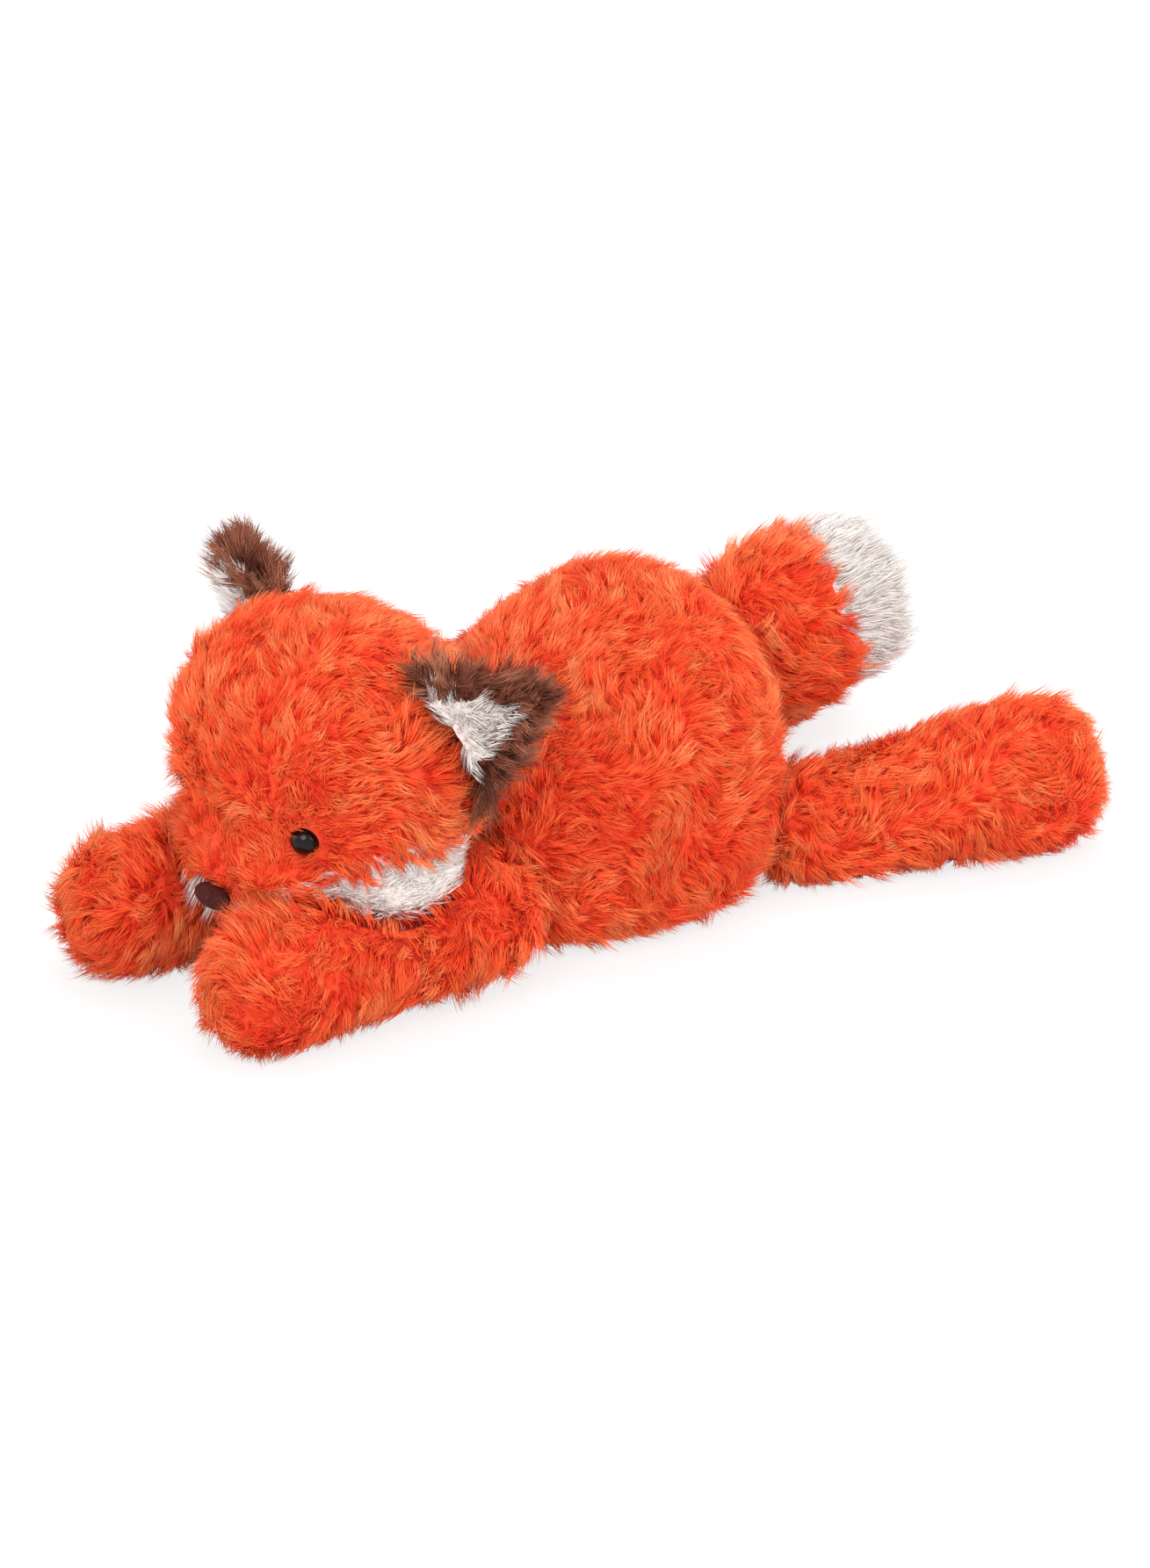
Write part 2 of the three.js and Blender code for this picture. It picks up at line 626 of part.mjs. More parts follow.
function addPiece(group, name, solid, material) {
  const pivot = group.userData.pivot ?? new THREE.Vector3();
  const mesh = new THREE.Mesh(geometryOf(solid).translate(-pivot.x, -pivot.y, -pivot.z), material);
  mesh.name = name;
  mesh.geometry.computeVertexNormals();
  group.add(mesh);
}

const { orangeFur, whiteFur, brownFur, noseCloth, fibre, pouchCloth, eyePlastic, washerPlastic } = materials;

addPiece(fox, "belly_panel", bellyPanel, orangeFur);
addPiece(fox, "body_filling", torsoFilling, fibre);
addPiece(fox, "pellet_pouch", pelletPouch, pouchCloth);

const headGroup = bodyGroup(fox, napePivot);
addPiece(headGroup, "jaw_panel", bothSides(jawSide(leftOf(headCover, -seamGap))), whiteFur);
addPiece(headGroup, "head_filling", headFilling, fibre);
addPiece(headGroup, "nose", nosePad(0), noseCloth);

const mirrorX = new THREE.Vector3(-1, 1, 1);
for (const side of ["left", "right"]) {
  const onSide = side === "left" ? (solid) => solid : mirrored;
  const sideOf = side === "left" ? leftOf : rightOf;
  const at = (point) => (side === "left" ? point.clone() : point.clone().multiply(mirrorX));

  addPiece(fox, `${side}_back_panel`, sideOf(backPart), orangeFur);
  addPiece(headGroup, `${side}_face_panel`, onSide(largestPart(leftOf(faceSide(headCover)))), orangeFur);
  addPiece(headGroup, `${side}_eye`, onSide(eyeButton), eyePlastic);
  addPiece(headGroup, `${side}_eye_washer`, onSide(eyeWasher), washerPlastic);

  const earGroup = bodyGroup(headGroup, at(earMiddle));
  addPiece(earGroup, `${side}_ear_back`, onSide(earsAsLeft[side].back), brownFur);
  addPiece(earGroup, `${side}_ear_lining`, onSide(earsAsLeft[side].lining), whiteFur);

  const armGroup = bodyGroup(fox, at(armPlaces[side].root));
  addPiece(armGroup, `${side}_arm_upper_panel`, onSide(armsAsLeft[side].upper), orangeFur);
  addPiece(armGroup, `${side}_arm_lower_panel`, onSide(armsAsLeft[side].lower), orangeFur);
  addPiece(armGroup, `${side}_arm_filling`, onSide(armsAsLeft[side].filling), fibre);

  const legGroup = bodyGroup(fox, at(legPlace.root));
  addPiece(legGroup, `${side}_leg_outer_panel`, onSide(legOuter), orangeFur);
  addPiece(legGroup, `${side}_leg_inner_panel`, onSide(legInner), orangeFur);
  addPiece(legGroup, `${side}_sole`, onSide(legSole), orangeFur);
  addPiece(legGroup, `${side}_leg_filling`, onSide(leftLeg.filling), fibre);
}

const tailGroup = bodyGroup(fox, tailPlace.root);
addPiece(tailGroup, "tail_panel", tailCover, orangeFur);
addPiece(tailGroup, "tail_tip", tailTip, whiteFur);
addPiece(tailGroup, "tail_filling", tailParts.filling, fibre);

const show = (vector) => vector.toArray().map((n) => n.toFixed(2)).join(", ");
console.log("nape pivot", show(napePivot));
console.log("left ear pivot", show(earMiddle), "axis", show(earAxis));
console.log("left arm pivot", show(armPlaces.left.root));
console.log("left leg pivot", show(legPlace.root));
console.log("tail pivot", show(tailPlace.root));

export default fox;
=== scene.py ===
import json
import math

import bmesh
import bpy
import numpy as np
from mathutils import Matrix, Vector, noise
from mathutils.bvhtree import BVHTree
from mathutils.kdtree import KDTree


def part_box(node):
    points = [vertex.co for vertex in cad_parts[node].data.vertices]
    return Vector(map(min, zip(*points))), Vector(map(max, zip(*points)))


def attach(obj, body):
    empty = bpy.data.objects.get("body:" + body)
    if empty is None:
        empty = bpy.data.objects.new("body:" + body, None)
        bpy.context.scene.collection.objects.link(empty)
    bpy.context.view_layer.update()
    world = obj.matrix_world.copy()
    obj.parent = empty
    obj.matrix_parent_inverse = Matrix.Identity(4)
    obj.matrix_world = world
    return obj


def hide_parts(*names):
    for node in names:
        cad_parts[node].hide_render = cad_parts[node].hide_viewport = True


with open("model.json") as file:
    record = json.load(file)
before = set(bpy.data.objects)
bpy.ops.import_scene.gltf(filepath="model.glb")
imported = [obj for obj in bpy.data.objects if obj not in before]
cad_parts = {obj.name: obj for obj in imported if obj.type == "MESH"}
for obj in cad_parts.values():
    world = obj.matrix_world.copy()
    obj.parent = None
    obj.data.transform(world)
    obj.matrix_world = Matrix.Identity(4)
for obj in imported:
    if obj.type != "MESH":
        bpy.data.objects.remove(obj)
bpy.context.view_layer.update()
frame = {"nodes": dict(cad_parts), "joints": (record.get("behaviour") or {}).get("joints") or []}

# The plush fox lies on its belly, facing -Y, with its own left side towards +X.
# Each body of the frame gets a stuffed cover, made from copies of its sewn panels,
# and a long swirling pile. The pile is made of locks, which are bunches of seven strands.
# The locks that stand round one heart lean together as a tuft.
# Lengths are in metres, and turns and lifts are in degrees unless a line says radians.

MM = 0.001
UP = np.array([0.0, 0.0, 1.0])

# Stuffed covers
COVER_VOXEL = 2.4 * MM
COVER_INSET = 2.2 * MM
COVER_ROUNDS = 6
EAR_VOXEL = 1.2 * MM
EAR_INSET = 2.0 * MM
EAR_ROUNDS = 3
WELD = 0.01 * MM
SMOOTH_STEP = 0.5

# The modelled lock, one unit long: its strands stand in a spiral round its middle
LOCK_KINDS = 8
STRANDS_IN_LOCK = 7
SHORT_IN_LOCK = 2
LOCK_RADIUS = 1.0 * MM
STRAND_RADIUS = 0.16 * MM
SHORT_WIDTH = 1.7
SPIRAL_STEP = 2.4  # radians from one strand to the next
SPIRAL_SLACK = 0.3
LONG_HEIGHTS = (0.7, 1.06)
SHORT_HEIGHTS = (0.4, 0.62)
LONG_BEND = 0.42
SHORT_BEND = 0.3
BEND_SCATTER = 0.45
TIP_SCATTER = 1.1
TIP_SPREAD = 0.3

# Where the locks and tufts stand
LOCK_SPACING = 1.32 * MM
EAR_LOCK_SPACING = 1.2 * MM
TUFT_SPACING = 2.6 * MM
TUFT_REACH = 1.6 * TUFT_SPACING
TRIES_PER_SPOT = 3.2
MOST_TRIANGLES = 196000
ROOT_DEPTH = 1.0 * MM
BURIED = 4.0 * MM
FLOOR_CLEAR = 0.25 * MM
FLOOR_SLACK = 0.3 * MM

# How the tufts turn, curl and lift
TUFT_SCATTER = 0.28  # radians
FINE_TURN = 0.5  # radians
FINE_SIZE = 0.4
CURL = 1.5  # radians
CURL_SIZE = 0.6
LIFT_WAVE = 10
LIFT_SCATTER = 6
LIFT_SIZE = 9 * MM
LENGTH_SCATTER = 0.16
LENGTH_LIMIT = 2  # times the scatter
SEAM_PILE = 0.42
SEAM_REACH = 44 * MM
CALM = {"tail_tip": 0.3, "left_ear_lining": 0.6, "right_ear_lining": 0.6}

# How much the pile's run leans down, and how much it leans out for each metre from the middle
BODY_SAG = -0.35
HEAD_SAG = -0.3
LIMB_SAG = -0.2
BODY_SPLAY = 4.0

# How the locks differ within a tuft
TUFT_FRAY = 0.22
LOCK_LENGTHS = (0.8, 1.1)
LOCK_WIDTHS = (0.85, 1.2)
GATHER = (0.0, 0.3)
ELBOW_GATHER = 0.45

# Tones, as places along a dye's ramp
TONE_MIDDLE = 0.5
TONE_WAVE = 0.12
TONE_SIZE = 26 * MM
# Painted light and shade: for each degree of lift a tuft is this much lighter, so tufts lying low
# in the hollows are darker
PAINTED_LIGHT_BY_LIFT = 0.012
TUFT_TONE = 0.14
LOCK_TONE = 0.06
STRAND_TONE = 0.07
TONE_WIDTH = 0.012
TONE_EDGE = 0.004
ROOT_EDGE = 0.03

# Root, bend and end of the painted shade on a strand, as shares of its height: it darkens the
# pile's hollows towards the roots
PAINTED_SHADE_STOPS = (0.0, 0.45, 0.85)

# How much of its own shading a strand keeps, next to that of its whole tuft
STRAND_SHADE = 0.22
TUFT_RADIUS = 1.2 * MM
BACK_START = 0.3
BACK_WIDTH = 0.8

# The noise behind the wandering values: how far each seed moves through it, and its gain
SEED_STEPS = (3.7, 1.9, 5.3)
NOISE_GAIN = 2.2

# Seeds added to a body's own, one for each wandering value
FINE_SEED = 7
TONE_SEED = 40
LIFT_SEED = 60
CURL_SEED = 90

# Pile round the eyes, left and then right: the right brow hangs over its eye
EYE_CLEAR = 4.7 * MM
EYE_SHORT = 9.0 * MM
EYE_PARTINGS = (1.6, 0.2)
EYE_LEAST = (0.75, 1.1)
BROW_RISE = 45.0

# Pile round the nose, on the jaw's seam and under the jaw
NOSE_CLEAR = 4.0 * MM
NOSE_SHORT = 26.0 * MM
NOSE_LEAST = 0.6
WHISKER_RISE = 62.0
WHISKER_PILE = 1.5
WHISKER_REACH = 22.0 * MM
JAW_RISE = 54.0
JAW_PILE = 0.65
JAW_REACH = 15.0 * MM
# Millimetres from the nose, and how many the face's pile hangs over the jaw's seam there
FACE_DROPS = [(16, 0), (21.5, 14), (32.5, 14), (37, 2), (48, 5), (62, 3), (80, 1.5)]

# Length of each pile, and its lift off the cover at the root and at the tip
LONG_PILE = (10.4 * MM, 56.0, 3.0)
BELLY_PILE = (10.0 * MM, 45.0, 10.0)
JAW_FUR = (8.0 * MM, 44.0, 4.0)
ARM_PILES = {"left": (10.8 * MM, 56.0, 3.0), "right": (12.4 * MM, 60.0, 8.0)}
EAR_BACK_PILE = (11.5 * MM, 48.0, 24.0)
EAR_LINING_PILE = (9.0 * MM, 50.0, 30.0)
TAIL_TIP_PILE = (11.5 * MM, 44.0, -4.0)
PAW_HEIGHT = 16 * MM

# Eyes and nose
EYE_RADIUS = 4.8 * MM
EYE_SEGMENTS = 40
EYE_RINGS = 24
EYE_BACK = 0.9 * MM
EYE_FLANGE = 0.5 * MM
NOSE_VOXEL = 0.9 * MM
NOSE_ROUNDS = 4

# Studio. The photograph shows 3.6 pixels to a millimetre at the fox, which the lens gives.
FLOOR_SIZE = 14
FLOOR_GREY = 0.86
FLOOR_PALE_SHARE = 0.78
AIR_LIGHT = 0.97
LAMP_SIZE = 1.8
LAMP_AIM = Vector((0, 0, 0.05))
LAMPS = {
    "key_lamp": ((1.1, -1.8, 1.7), 38.0),
    "fill_lamp": ((2.2, 0.9, 1.2), 31.0),
    "top_lamp": ((-0.5, 0.6, 2.4), 25.0),
}
CAMERA_TURN = math.radians(52)
CAMERA_TILT = math.radians(25)
CAMERA_DISTANCE = 3.5
CAMERA_LENS = 254.1
CAMERA_SENSOR = 36
CAMERA_CLIP = 30
AIM_RIGHT = 0.61 * MM
AIM_UP = 32.89 * MM


# Finishes


def dye(red, green, blue):
    """A dyed colour as it looks, turned into the light values that a shader takes."""
    levels = []
    for level in (red, green, blue):
        share = level / 255
        levels.append(share / 12.92 if share <= 0.04045 else ((share + 0.055) / 1.055) ** 2.4)
    return (*levels, 1.0)


WHITE = (1, 1, 1, 1)


def add_node(tree, kind, **values):
    """A new shader node, with the given values on its sockets. A socket's spaces are written _."""
    node = tree.nodes.new(kind)
    for name, value in values.items():
        node.inputs[name.replace("_", " ")].default_value = value
    return node


def new_finish(name):
    """A new material, with nothing but its output and one surface shader."""
    finish = bpy.data.materials.new(name)
    finish.use_nodes = True
    tree = finish.node_tree
    tree.nodes.clear()
    out = add_node(tree, "ShaderNodeOutputMaterial")
    shader = add_node(tree, "ShaderNodeBsdfPrincipled")
    tree.links.new(shader.outputs["BSDF"], out.inputs["Surface"])
    return finish, tree, shader


def ramp(tree, source, stops):
    """The colours of the stops, blended by a value from the source socket."""
    node = tree.nodes.new("ShaderNodeValToRGB")
    for element, (place, colour) in zip(node.color_ramp.elements, (stops[0], stops[-1])):
        element.position = place
        element.color = colour
    for place, colour in stops[1:-1]:
        node.color_ramp.elements.new(place).color = colour
    tree.links.new(source, node.inputs["Fac"])
    return node.outputs["Color"]


def clouds(tree, scale, detail=2):
    """Cloudy noise over the piece's own coordinates."""
    where = add_node(tree, "ShaderNodeTexCoord")
    cloud = add_node(tree, "ShaderNodeTexNoise", Scale=scale, Detail=detail)
    tree.links.new(where.outputs["Object"], cloud.inputs["Vector"])
    return cloud.outputs["Fac"]


def bump_by(tree, shader, height, strength, distance):
    """Makes a shader's surface rough by the heights from a socket."""
    bump = add_node(tree, "ShaderNodeBump", Strength=strength, Distance=distance)
    tree.links.new(height, bump.inputs["Height"])
    tree.links.new(bump.outputs["Normal"], shader.inputs["Normal"])


def pile_finish(name, tones, painted_shade_at_root, painted_shade_at_bend, gloss, glow):
    """Long acrylic pile: one tone to each strand, with painted shade that darkens it towards its
    root, where the hollows of the pile lie.

    glow is the share of the light that passes through the strands."""
    finish, tree, shader = new_finish(name)
    place = add_node(tree, "ShaderNodeUVMap")
    place.uv_map = "OFBake"
    split = add_node(tree, "ShaderNodeSeparateXYZ")
    tree.links.new(place.outputs["UV"], split.inputs["Vector"])
    tone = ramp(tree, split.outputs["X"], tones)
    # Painted shade: each strand is darker towards its root, for the hollows of the pile
    painted_shades = zip(PAINTED_SHADE_STOPS, (painted_shade_at_root, painted_shade_at_bend, WHITE))
    depth = ramp(tree, split.outputs["Y"], list(painted_shades))
    mix = tree.nodes.new("ShaderNodeMix")
    mix.data_type = "RGBA"
    mix.blend_type = "MULTIPLY"
    mix.inputs["Factor"].default_value = 1.0
    tree.links.new(tone, mix.inputs["A"])
    tree.links.new(depth, mix.inputs["B"])
    tree.links.new(mix.outputs["Result"], shader.inputs["Base Color"])
    shader.inputs["Roughness"].default_value = 0.6
    shader.inputs["Specular IOR Level"].default_value = gloss
    shader.inputs["Subsurface Weight"].default_value = glow
    shader.inputs["Subsurface Radius"].default_value = (1.0, 0.8, 0.7)
    shader.inputs["Subsurface Scale"].default_value = 0.25 * MM
    return finish


def backing_finish(name, deep, pale):
    """Knitted backing that shows between the locks."""
    finish, tree, shader = new_finish(name)
    tone = ramp(tree, clouds(tree, 260, 4), [(0.35, deep), (0.65, pale)])
    tree.links.new(tone, shader.inputs["Base Color"])
    bump_by(tree, shader, clouds(tree, 1800), 0.5, 0.4 * MM)
    shader.inputs["Roughness"].default_value = 0.9
    return finish


def eye_finish():
    """Black plastic, almost even, with a soft shine."""
    finish, tree, shader = new_finish("black_bead")
    tone = ramp(tree, clouds(tree, 220), [(0.3, dye(8, 6, 6)), (0.8, dye(16, 12, 12))])
    tree.links.new(tone, shader.inputs["Base Color"])
    shader.inputs["Roughness"].default_value = 0.12
    shader.inputs["Specular IOR Level"].default_value = 0.25
    return finish


def nose_finish():
    """Dark brown felted cloth."""
    finish, tree, shader = new_finish("nose_felt")
    mottle = clouds(tree, 900, 5)
    tone = ramp(tree, mottle, [(0.3, dye(46, 15, 13)), (0.7, dye(80, 30, 27))])
    tree.links.new(tone, shader.inputs["Base Color"])
    bump_by(tree, shader, mottle, 0.8, 0.3 * MM)
    shader.inputs["Roughness"].default_value = 0.85
    shader.inputs["Specular IOR Level"].default_value = 0.2
    return finish


ORANGE_PILE = pile_finish(
    "orange_pile",
    [
        (0.0, dye(238, 46, 16)),
        (0.35, dye(252, 80, 31)),
        (0.65, dye(255, 110, 50)),
        (1.0, dye(255, 150, 86)),
    ],
    # Painted shade at the root and the bend of each orange strand
    painted_shade_at_root=dye(236, 150, 140),
    painted_shade_at_bend=dye(250, 222, 218),
    gloss=0.3,
    glow=0.35,
)
WHITE_PILE = pile_finish(
    "white_pile",
    [(0.0, dye(232, 219, 213)), (0.5, dye(241, 232, 227)), (1.0, dye(248, 243, 240))],
    # Painted shade at the root and the bend of each white strand
    painted_shade_at_root=dye(242, 234, 231),
    painted_shade_at_bend=dye(250, 247, 246),
    gloss=0.1,
    glow=0.5,
)
BROWN_PILE = pile_finish(
    "brown_pile",
    [(0.0, dye(94, 48, 36)), (0.5, dye(150, 88, 66)), (1.0, dye(206, 140, 108))],
    # Painted shade at the root and the bend of each brown strand
    painted_shade_at_root=dye(160, 150, 148),
    painted_shade_at_bend=dye(222, 214, 212),
    gloss=0.1,
    glow=0.0,
)
ORANGE_BACKING = backing_finish("orange_backing", dye(214, 58, 28), dye(238, 78, 40))
WHITE_BACKING = backing_finish("white_backing", dye(226, 216, 211), dye(242, 237, 234))
BROWN_BACKING = backing_finish("brown_backing", dye(96, 50, 36), dye(126, 70, 52))
FIBRE_FILL = backing_finish("fibre_fill", dye(226, 224, 220), dye(246, 245, 243))
POUCH_CLOTH = backing_finish("pouch_cloth", dye(196, 190, 178), dye(222, 216, 206))
WASHER_PLASTIC = backing_finish("washer_nylon", dye(214, 212, 206), dye(232, 230, 226))
EYE_BEAD = eye_finish()
NOSE_FELT = nose_finish()


# Stuffed covers


def corners_of(node):
    """The places of all the vertices of a frame node."""
    return np.array([v.co for v in frame["nodes"][node].data.vertices])


def merged_copy(name, nodes):
    """The named panels and what they hold, copied into one mesh as they lie."""
    bm = bmesh.new()
    for node in nodes:
        bm.from_mesh(frame["nodes"][node].data)
    bmesh.ops.remove_doubles(bm, verts=bm.verts, dist=WELD)
    mesh = bpy.data.meshes.new(name)
    bm.to_mesh(mesh)
    bm.free()
    piece = bpy.data.objects.new(name, mesh)
    bpy.context.scene.collection.objects.link(piece)
    return piece


def take_up(piece):
    """Makes a piece the only one selected and the active one."""
    bpy.ops.object.select_all(action="DESELECT")
    piece.select_set(True)
    bpy.context.view_layer.objects.active = piece


def finish_with(piece, kind, **settings):
    """Adds one modifier to a piece and applies it."""
    modifier = piece.modifiers.new(kind.lower(), kind)
    for name, value in settings.items():
        setattr(modifier, name, value)
    take_up(piece)
    bpy.ops.object.modifier_apply(modifier=modifier.name)


def keep_outer_shell(piece):
    """Drops the small bubbles that a remesh leaves where two panels meet."""
    bm = bmesh.new()
    bm.from_mesh(piece.data)
    left = set(bm.verts)
    shells = []
    while left:
        shell = [left.pop()]
        for vert in shell:
            for edge in vert.link_edges:
                other = edge.other_vert(vert)
                if other in left:
                    left.discard(other)
                    shell.append(other)
        shells.append(shell)
    shells.sort(key=len)
    for shell in shells[:-1]:
        bmesh.ops.delete(bm, geom=shell, context="VERTS")
    bm.to_mesh(piece.data)
    bm.free()


def tree_of(piece):
    """A search tree of a piece's faces, which finds the nearest one to a point."""
    mesh = piece.data
    places = [v.co.copy() for v in mesh.vertices]
    return BVHTree.FromPolygons(places, [tuple(p.vertices) for p in mesh.polygons])


PANEL_TREES = {}


def nearest_panel(points, nodes):
    """The index of the panel that lies nearest to each point."""
    for node in nodes:
        if node not in PANEL_TREES:
            PANEL_TREES[node] = tree_of(frame["nodes"][node])
    found = []
    for point in points.tolist():
        gaps = [PANEL_TREES[node].find_nearest(point)[3] for node in nodes]
        found.append(int(np.argmin(gaps)))
    return np.array(found)


def dress_panels(piece, panels, finishes):
    """Gives each face of a cover the backing of the panel that lies nearest to it."""
    kinds = list(dict.fromkeys(finishes))
    for finish in kinds:
        piece.data.materials.append(finish)
    if len(kinds) < 2:
        return
    nearest = nearest_panel(np.array([p.center for p in piece.data.polygons]), panels)
    slots = np.array([kinds.index(finish) for finish in finishes])[nearest]
    piece.data.polygons.foreach_set("material_index", slots)


def stuffed_cover(body, panels, held,
                  voxel=COVER_VOXEL, inset=COVER_INSET, rounds=COVER_ROUNDS):
    """The smooth skin of one body, a little inside its panels. panels gives each one's backing."""
    finishes = list(panels.values())
    panels = list(panels)
    piece = merged_copy(body + "_cover", panels + held)
    finish_with(piece, "REMESH", mode="VOXEL", voxel_size=voxel)
    keep_outer_shell(piece)
    finish_with(piece, "SMOOTH", factor=SMOOTH_STEP, iterations=rounds)
    finish_with(piece, "DISPLACE", strength=-inset, mid_level=0.0, direction="NORMAL")
    finish_with(piece, "SMOOTH", factor=SMOOTH_STEP, iterations=rounds)
    take_up(piece)
    bpy.ops.object.shade_smooth()
    piece.data.materials.clear()
    dress_panels(piece, panels, finishes)
    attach(piece, body)
    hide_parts(*panels)
    return piece


BODY_PANELS = ["belly_panel", "left_back_panel", "right_back_panel"]
HEAD_PANELS = ["left_face_panel", "right_face_panel", "jaw_panel"]
TAIL_PANELS = ["tail_panel", "tail_tip"]


def limb_panels(side):
    """The panels of one side's arm, leg and ear."""
    return (
        [side + "_arm_upper_panel", side + "_arm_lower_panel"],
        [side + "_leg_outer_panel", side + "_leg_inner_panel", side + "_sole"],
        [side + "_ear_back", side + "_ear_lining"],
    )


def sew_covers():
    """A stuffed cover for each body, by the body's name."""
    covers = {}
    covers["body"] = stuffed_cover(
        "body", dict.fromkeys(BODY_PANELS, ORANGE_BACKING), ["body_filling", "pellet_pouch"]
    )
    head_backings = (ORANGE_BACKING, ORANGE_BACKING, WHITE_BACKING)
    covers["head"] = stuffed_cover(
        "head", dict(zip(HEAD_PANELS, head_backings)),
        ["head_filling", "left_eye_washer", "right_eye_washer"],
    )
    for side in ("left", "right"):
        arm, leg, ear = limb_panels(side)
        for limb, panels in ((side + "_arm", arm), (side + "_leg", leg)):
            covers[limb] = stuffed_cover(
                limb, dict.fromkeys(panels, ORANGE_BACKING), [limb + "_filling"]
            )
        covers[side + "_ear"] = stuffed_cover(
            side + "_ear", dict(zip(ear, (BROWN_BACKING, WHITE_BACKING))), [],
            EAR_VOXEL, EAR_INSET, EAR_ROUNDS,
        )
    covers["tail"] = stuffed_cover(
        "tail", dict(zip(TAIL_PANELS, (ORANGE_BACKING, WHITE_BACKING))), ["tail_filling"]
    )
    return covers


COVERS = sew_covers()
COVER_TREES = {body: tree_of(piece) for body, piece in COVERS.items()}


# The modelled locks


class Lock:
    """Places and faces of a lock, with each place's strand and its share of the way across it."""

    def __init__(self, places, faces, strand, across):
        self.places, self.faces, self.strand, self.across = places, faces, strand, across


def strand_of_each(places, faces):
    """Numbers the strands of a modelled lock, so that each can have its own tone.

    Each pass hands the lowest number on to the next faces, and four reach all of a strand."""
    strand = np.arange(len(places))
    for _ in range(4):
        for face in faces:
            strand[face] = strand[face].min()
    return np.unique(strand, return_inverse=True)[1]


def add_strand(mesh, root, bend, tip, radius):
    """One thin three-sided spindle from root to tip, widest at its bend."""
    bpy.ops.mesh.select_all(action="DESELECT")
    bpy.ops.mesh.primitive_cone_add(
        vertices=3, radius1=radius, radius2=0.0, depth=0.5, location=bend,
        end_fill_type="NOTHING",
    )
    bm = bmesh.from_edit_mesh(mesh)
    fresh = [v for v in bm.verts if v.select]
    fresh.sort(key=lambda v: v.co.z)
    ring, point = fresh[:3], fresh[3]
    point.co = tip
    for vert in ring:
        vert.co.z = bend.z
    for vert in bm.verts:
        vert.select = vert in ring
    bm.select_flush_mode()
    for edge in bm.edges:
        edge.select = edge.verts[0] in ring and edge.verts[1] in ring
    bmesh.update_edit_mesh(mesh)
    bpy.ops.mesh.extrude_edges_move()
    bpy.ops.mesh.merge(type="CENTER")
    bm = bmesh.from_edit_mesh(mesh)
    for vert in bm.verts:
        if vert.select:
            vert.co = root
    bmesh.update_edit_mesh(mesh)


def model_lock(seed):
    """One lock of pile, one unit long: strands spread at the root, each with its own tip."""
    rng = np.random.RandomState(seed)
    mesh = bpy.data.meshes.new("lock")
    lock = bpy.data.objects.new("lock", mesh)
    bpy.context.scene.collection.objects.link(lock)
    take_up(lock)
    bpy.ops.object.mode_set(mode="EDIT")
    for strand in range(STRANDS_IN_LOCK):
        short = strand < SHORT_IN_LOCK
        turn = SPIRAL_STEP * strand + rng.uniform(-SPIRAL_SLACK, SPIRAL_SLACK)
        out = math.sqrt((strand + 0.5) / STRANDS_IN_LOCK)
        root = Vector((out * math.cos(turn), out * math.sin(turn), 0.0))
        height = rng.uniform(*(SHORT_HEIGHTS if short else LONG_HEIGHTS))
        spread = rng.uniform(-TIP_SCATTER, TIP_SCATTER, 2) + TIP_SPREAD * np.array(root[:2])
        tip = Vector((*spread, height))
        aside = Vector((*rng.uniform(-BEND_SCATTER, BEND_SCATTER, 2), 0.0))
        bend = root.lerp(tip, SHORT_BEND if short else LONG_BEND) + aside
        radius = STRAND_RADIUS / LOCK_RADIUS * (SHORT_WIDTH if short else 1.0)
        add_strand(mesh, root, bend, tip, radius)
    bpy.ops.mesh.select_all(action="SELECT")
    bpy.ops.mesh.normals_make_consistent(inside=False)
    bpy.ops.object.mode_set(mode="OBJECT")
    places = np.array([v.co for v in mesh.vertices])
    faces = np.array([list(p.vertices) for p in mesh.polygons])
    bpy.data.objects.remove(lock)
    bpy.data.meshes.remove(mesh)
    strand = strand_of_each(places, faces)
    across = np.zeros(len(places))
    for one in range(STRANDS_IN_LOCK):
        own = np.nonzero(strand == one)[0]
        order = own[np.argsort(places[own, 2])]
        across[order[0]] = 0.5
        across[order[-1]] = 0.5
        across[order[1:-1]] = np.linspace(0.0, 1.0, len(order) - 2)
    return Lock(places, faces, strand, across)


LOCKS = [model_lock(seed) for seed in range(LOCK_KINDS)]
MOST_LOCKS = MOST_TRIANGLES // len(LOCKS[0].faces)


# Where pile stands, and how it lies


def unit(v):
    """Vectors of length one."""
    return v / np.maximum(np.linalg.norm(v, axis=-1, keepdims=True), 1e-9)


def rows_of(items, field, kind=float):
    """One field of a mesh's vertices or triangles, three numbers to a row."""
    rows = np.zeros(len(items) * 3, kind)
    items.foreach_get(field, rows)
    return rows.reshape(-1, 3)


def thinned(points, spacing):
    """The indices of the points that keep the spacing from all that were kept before them."""
    kept, cells = [], {}
    steps = (-1, 0, 1)
    near = [(x, y, z) for x in steps for y in steps for z in steps]
    keys = np.floor(points / spacing).astype(int).tolist()
    limit = spacing**2
    for i, (px, py, pz) in enumerate(points.tolist()):
        kx, ky, kz = keys[i]
        free = True
        for dx, dy, dz in near:
            for qx, qy, qz in cells.get((kx + dx, ky + dy, kz + dz), ()):
                if (px - qx) ** 2 + (py - qy) ** 2 + (pz - qz) ** 2 < limit:
                    free = False
                    break
            if not free:
                break
        if free:
            kept.append(i)
            cells.setdefault((kx, ky, kz), []).append((px, py, pz))
    return kept


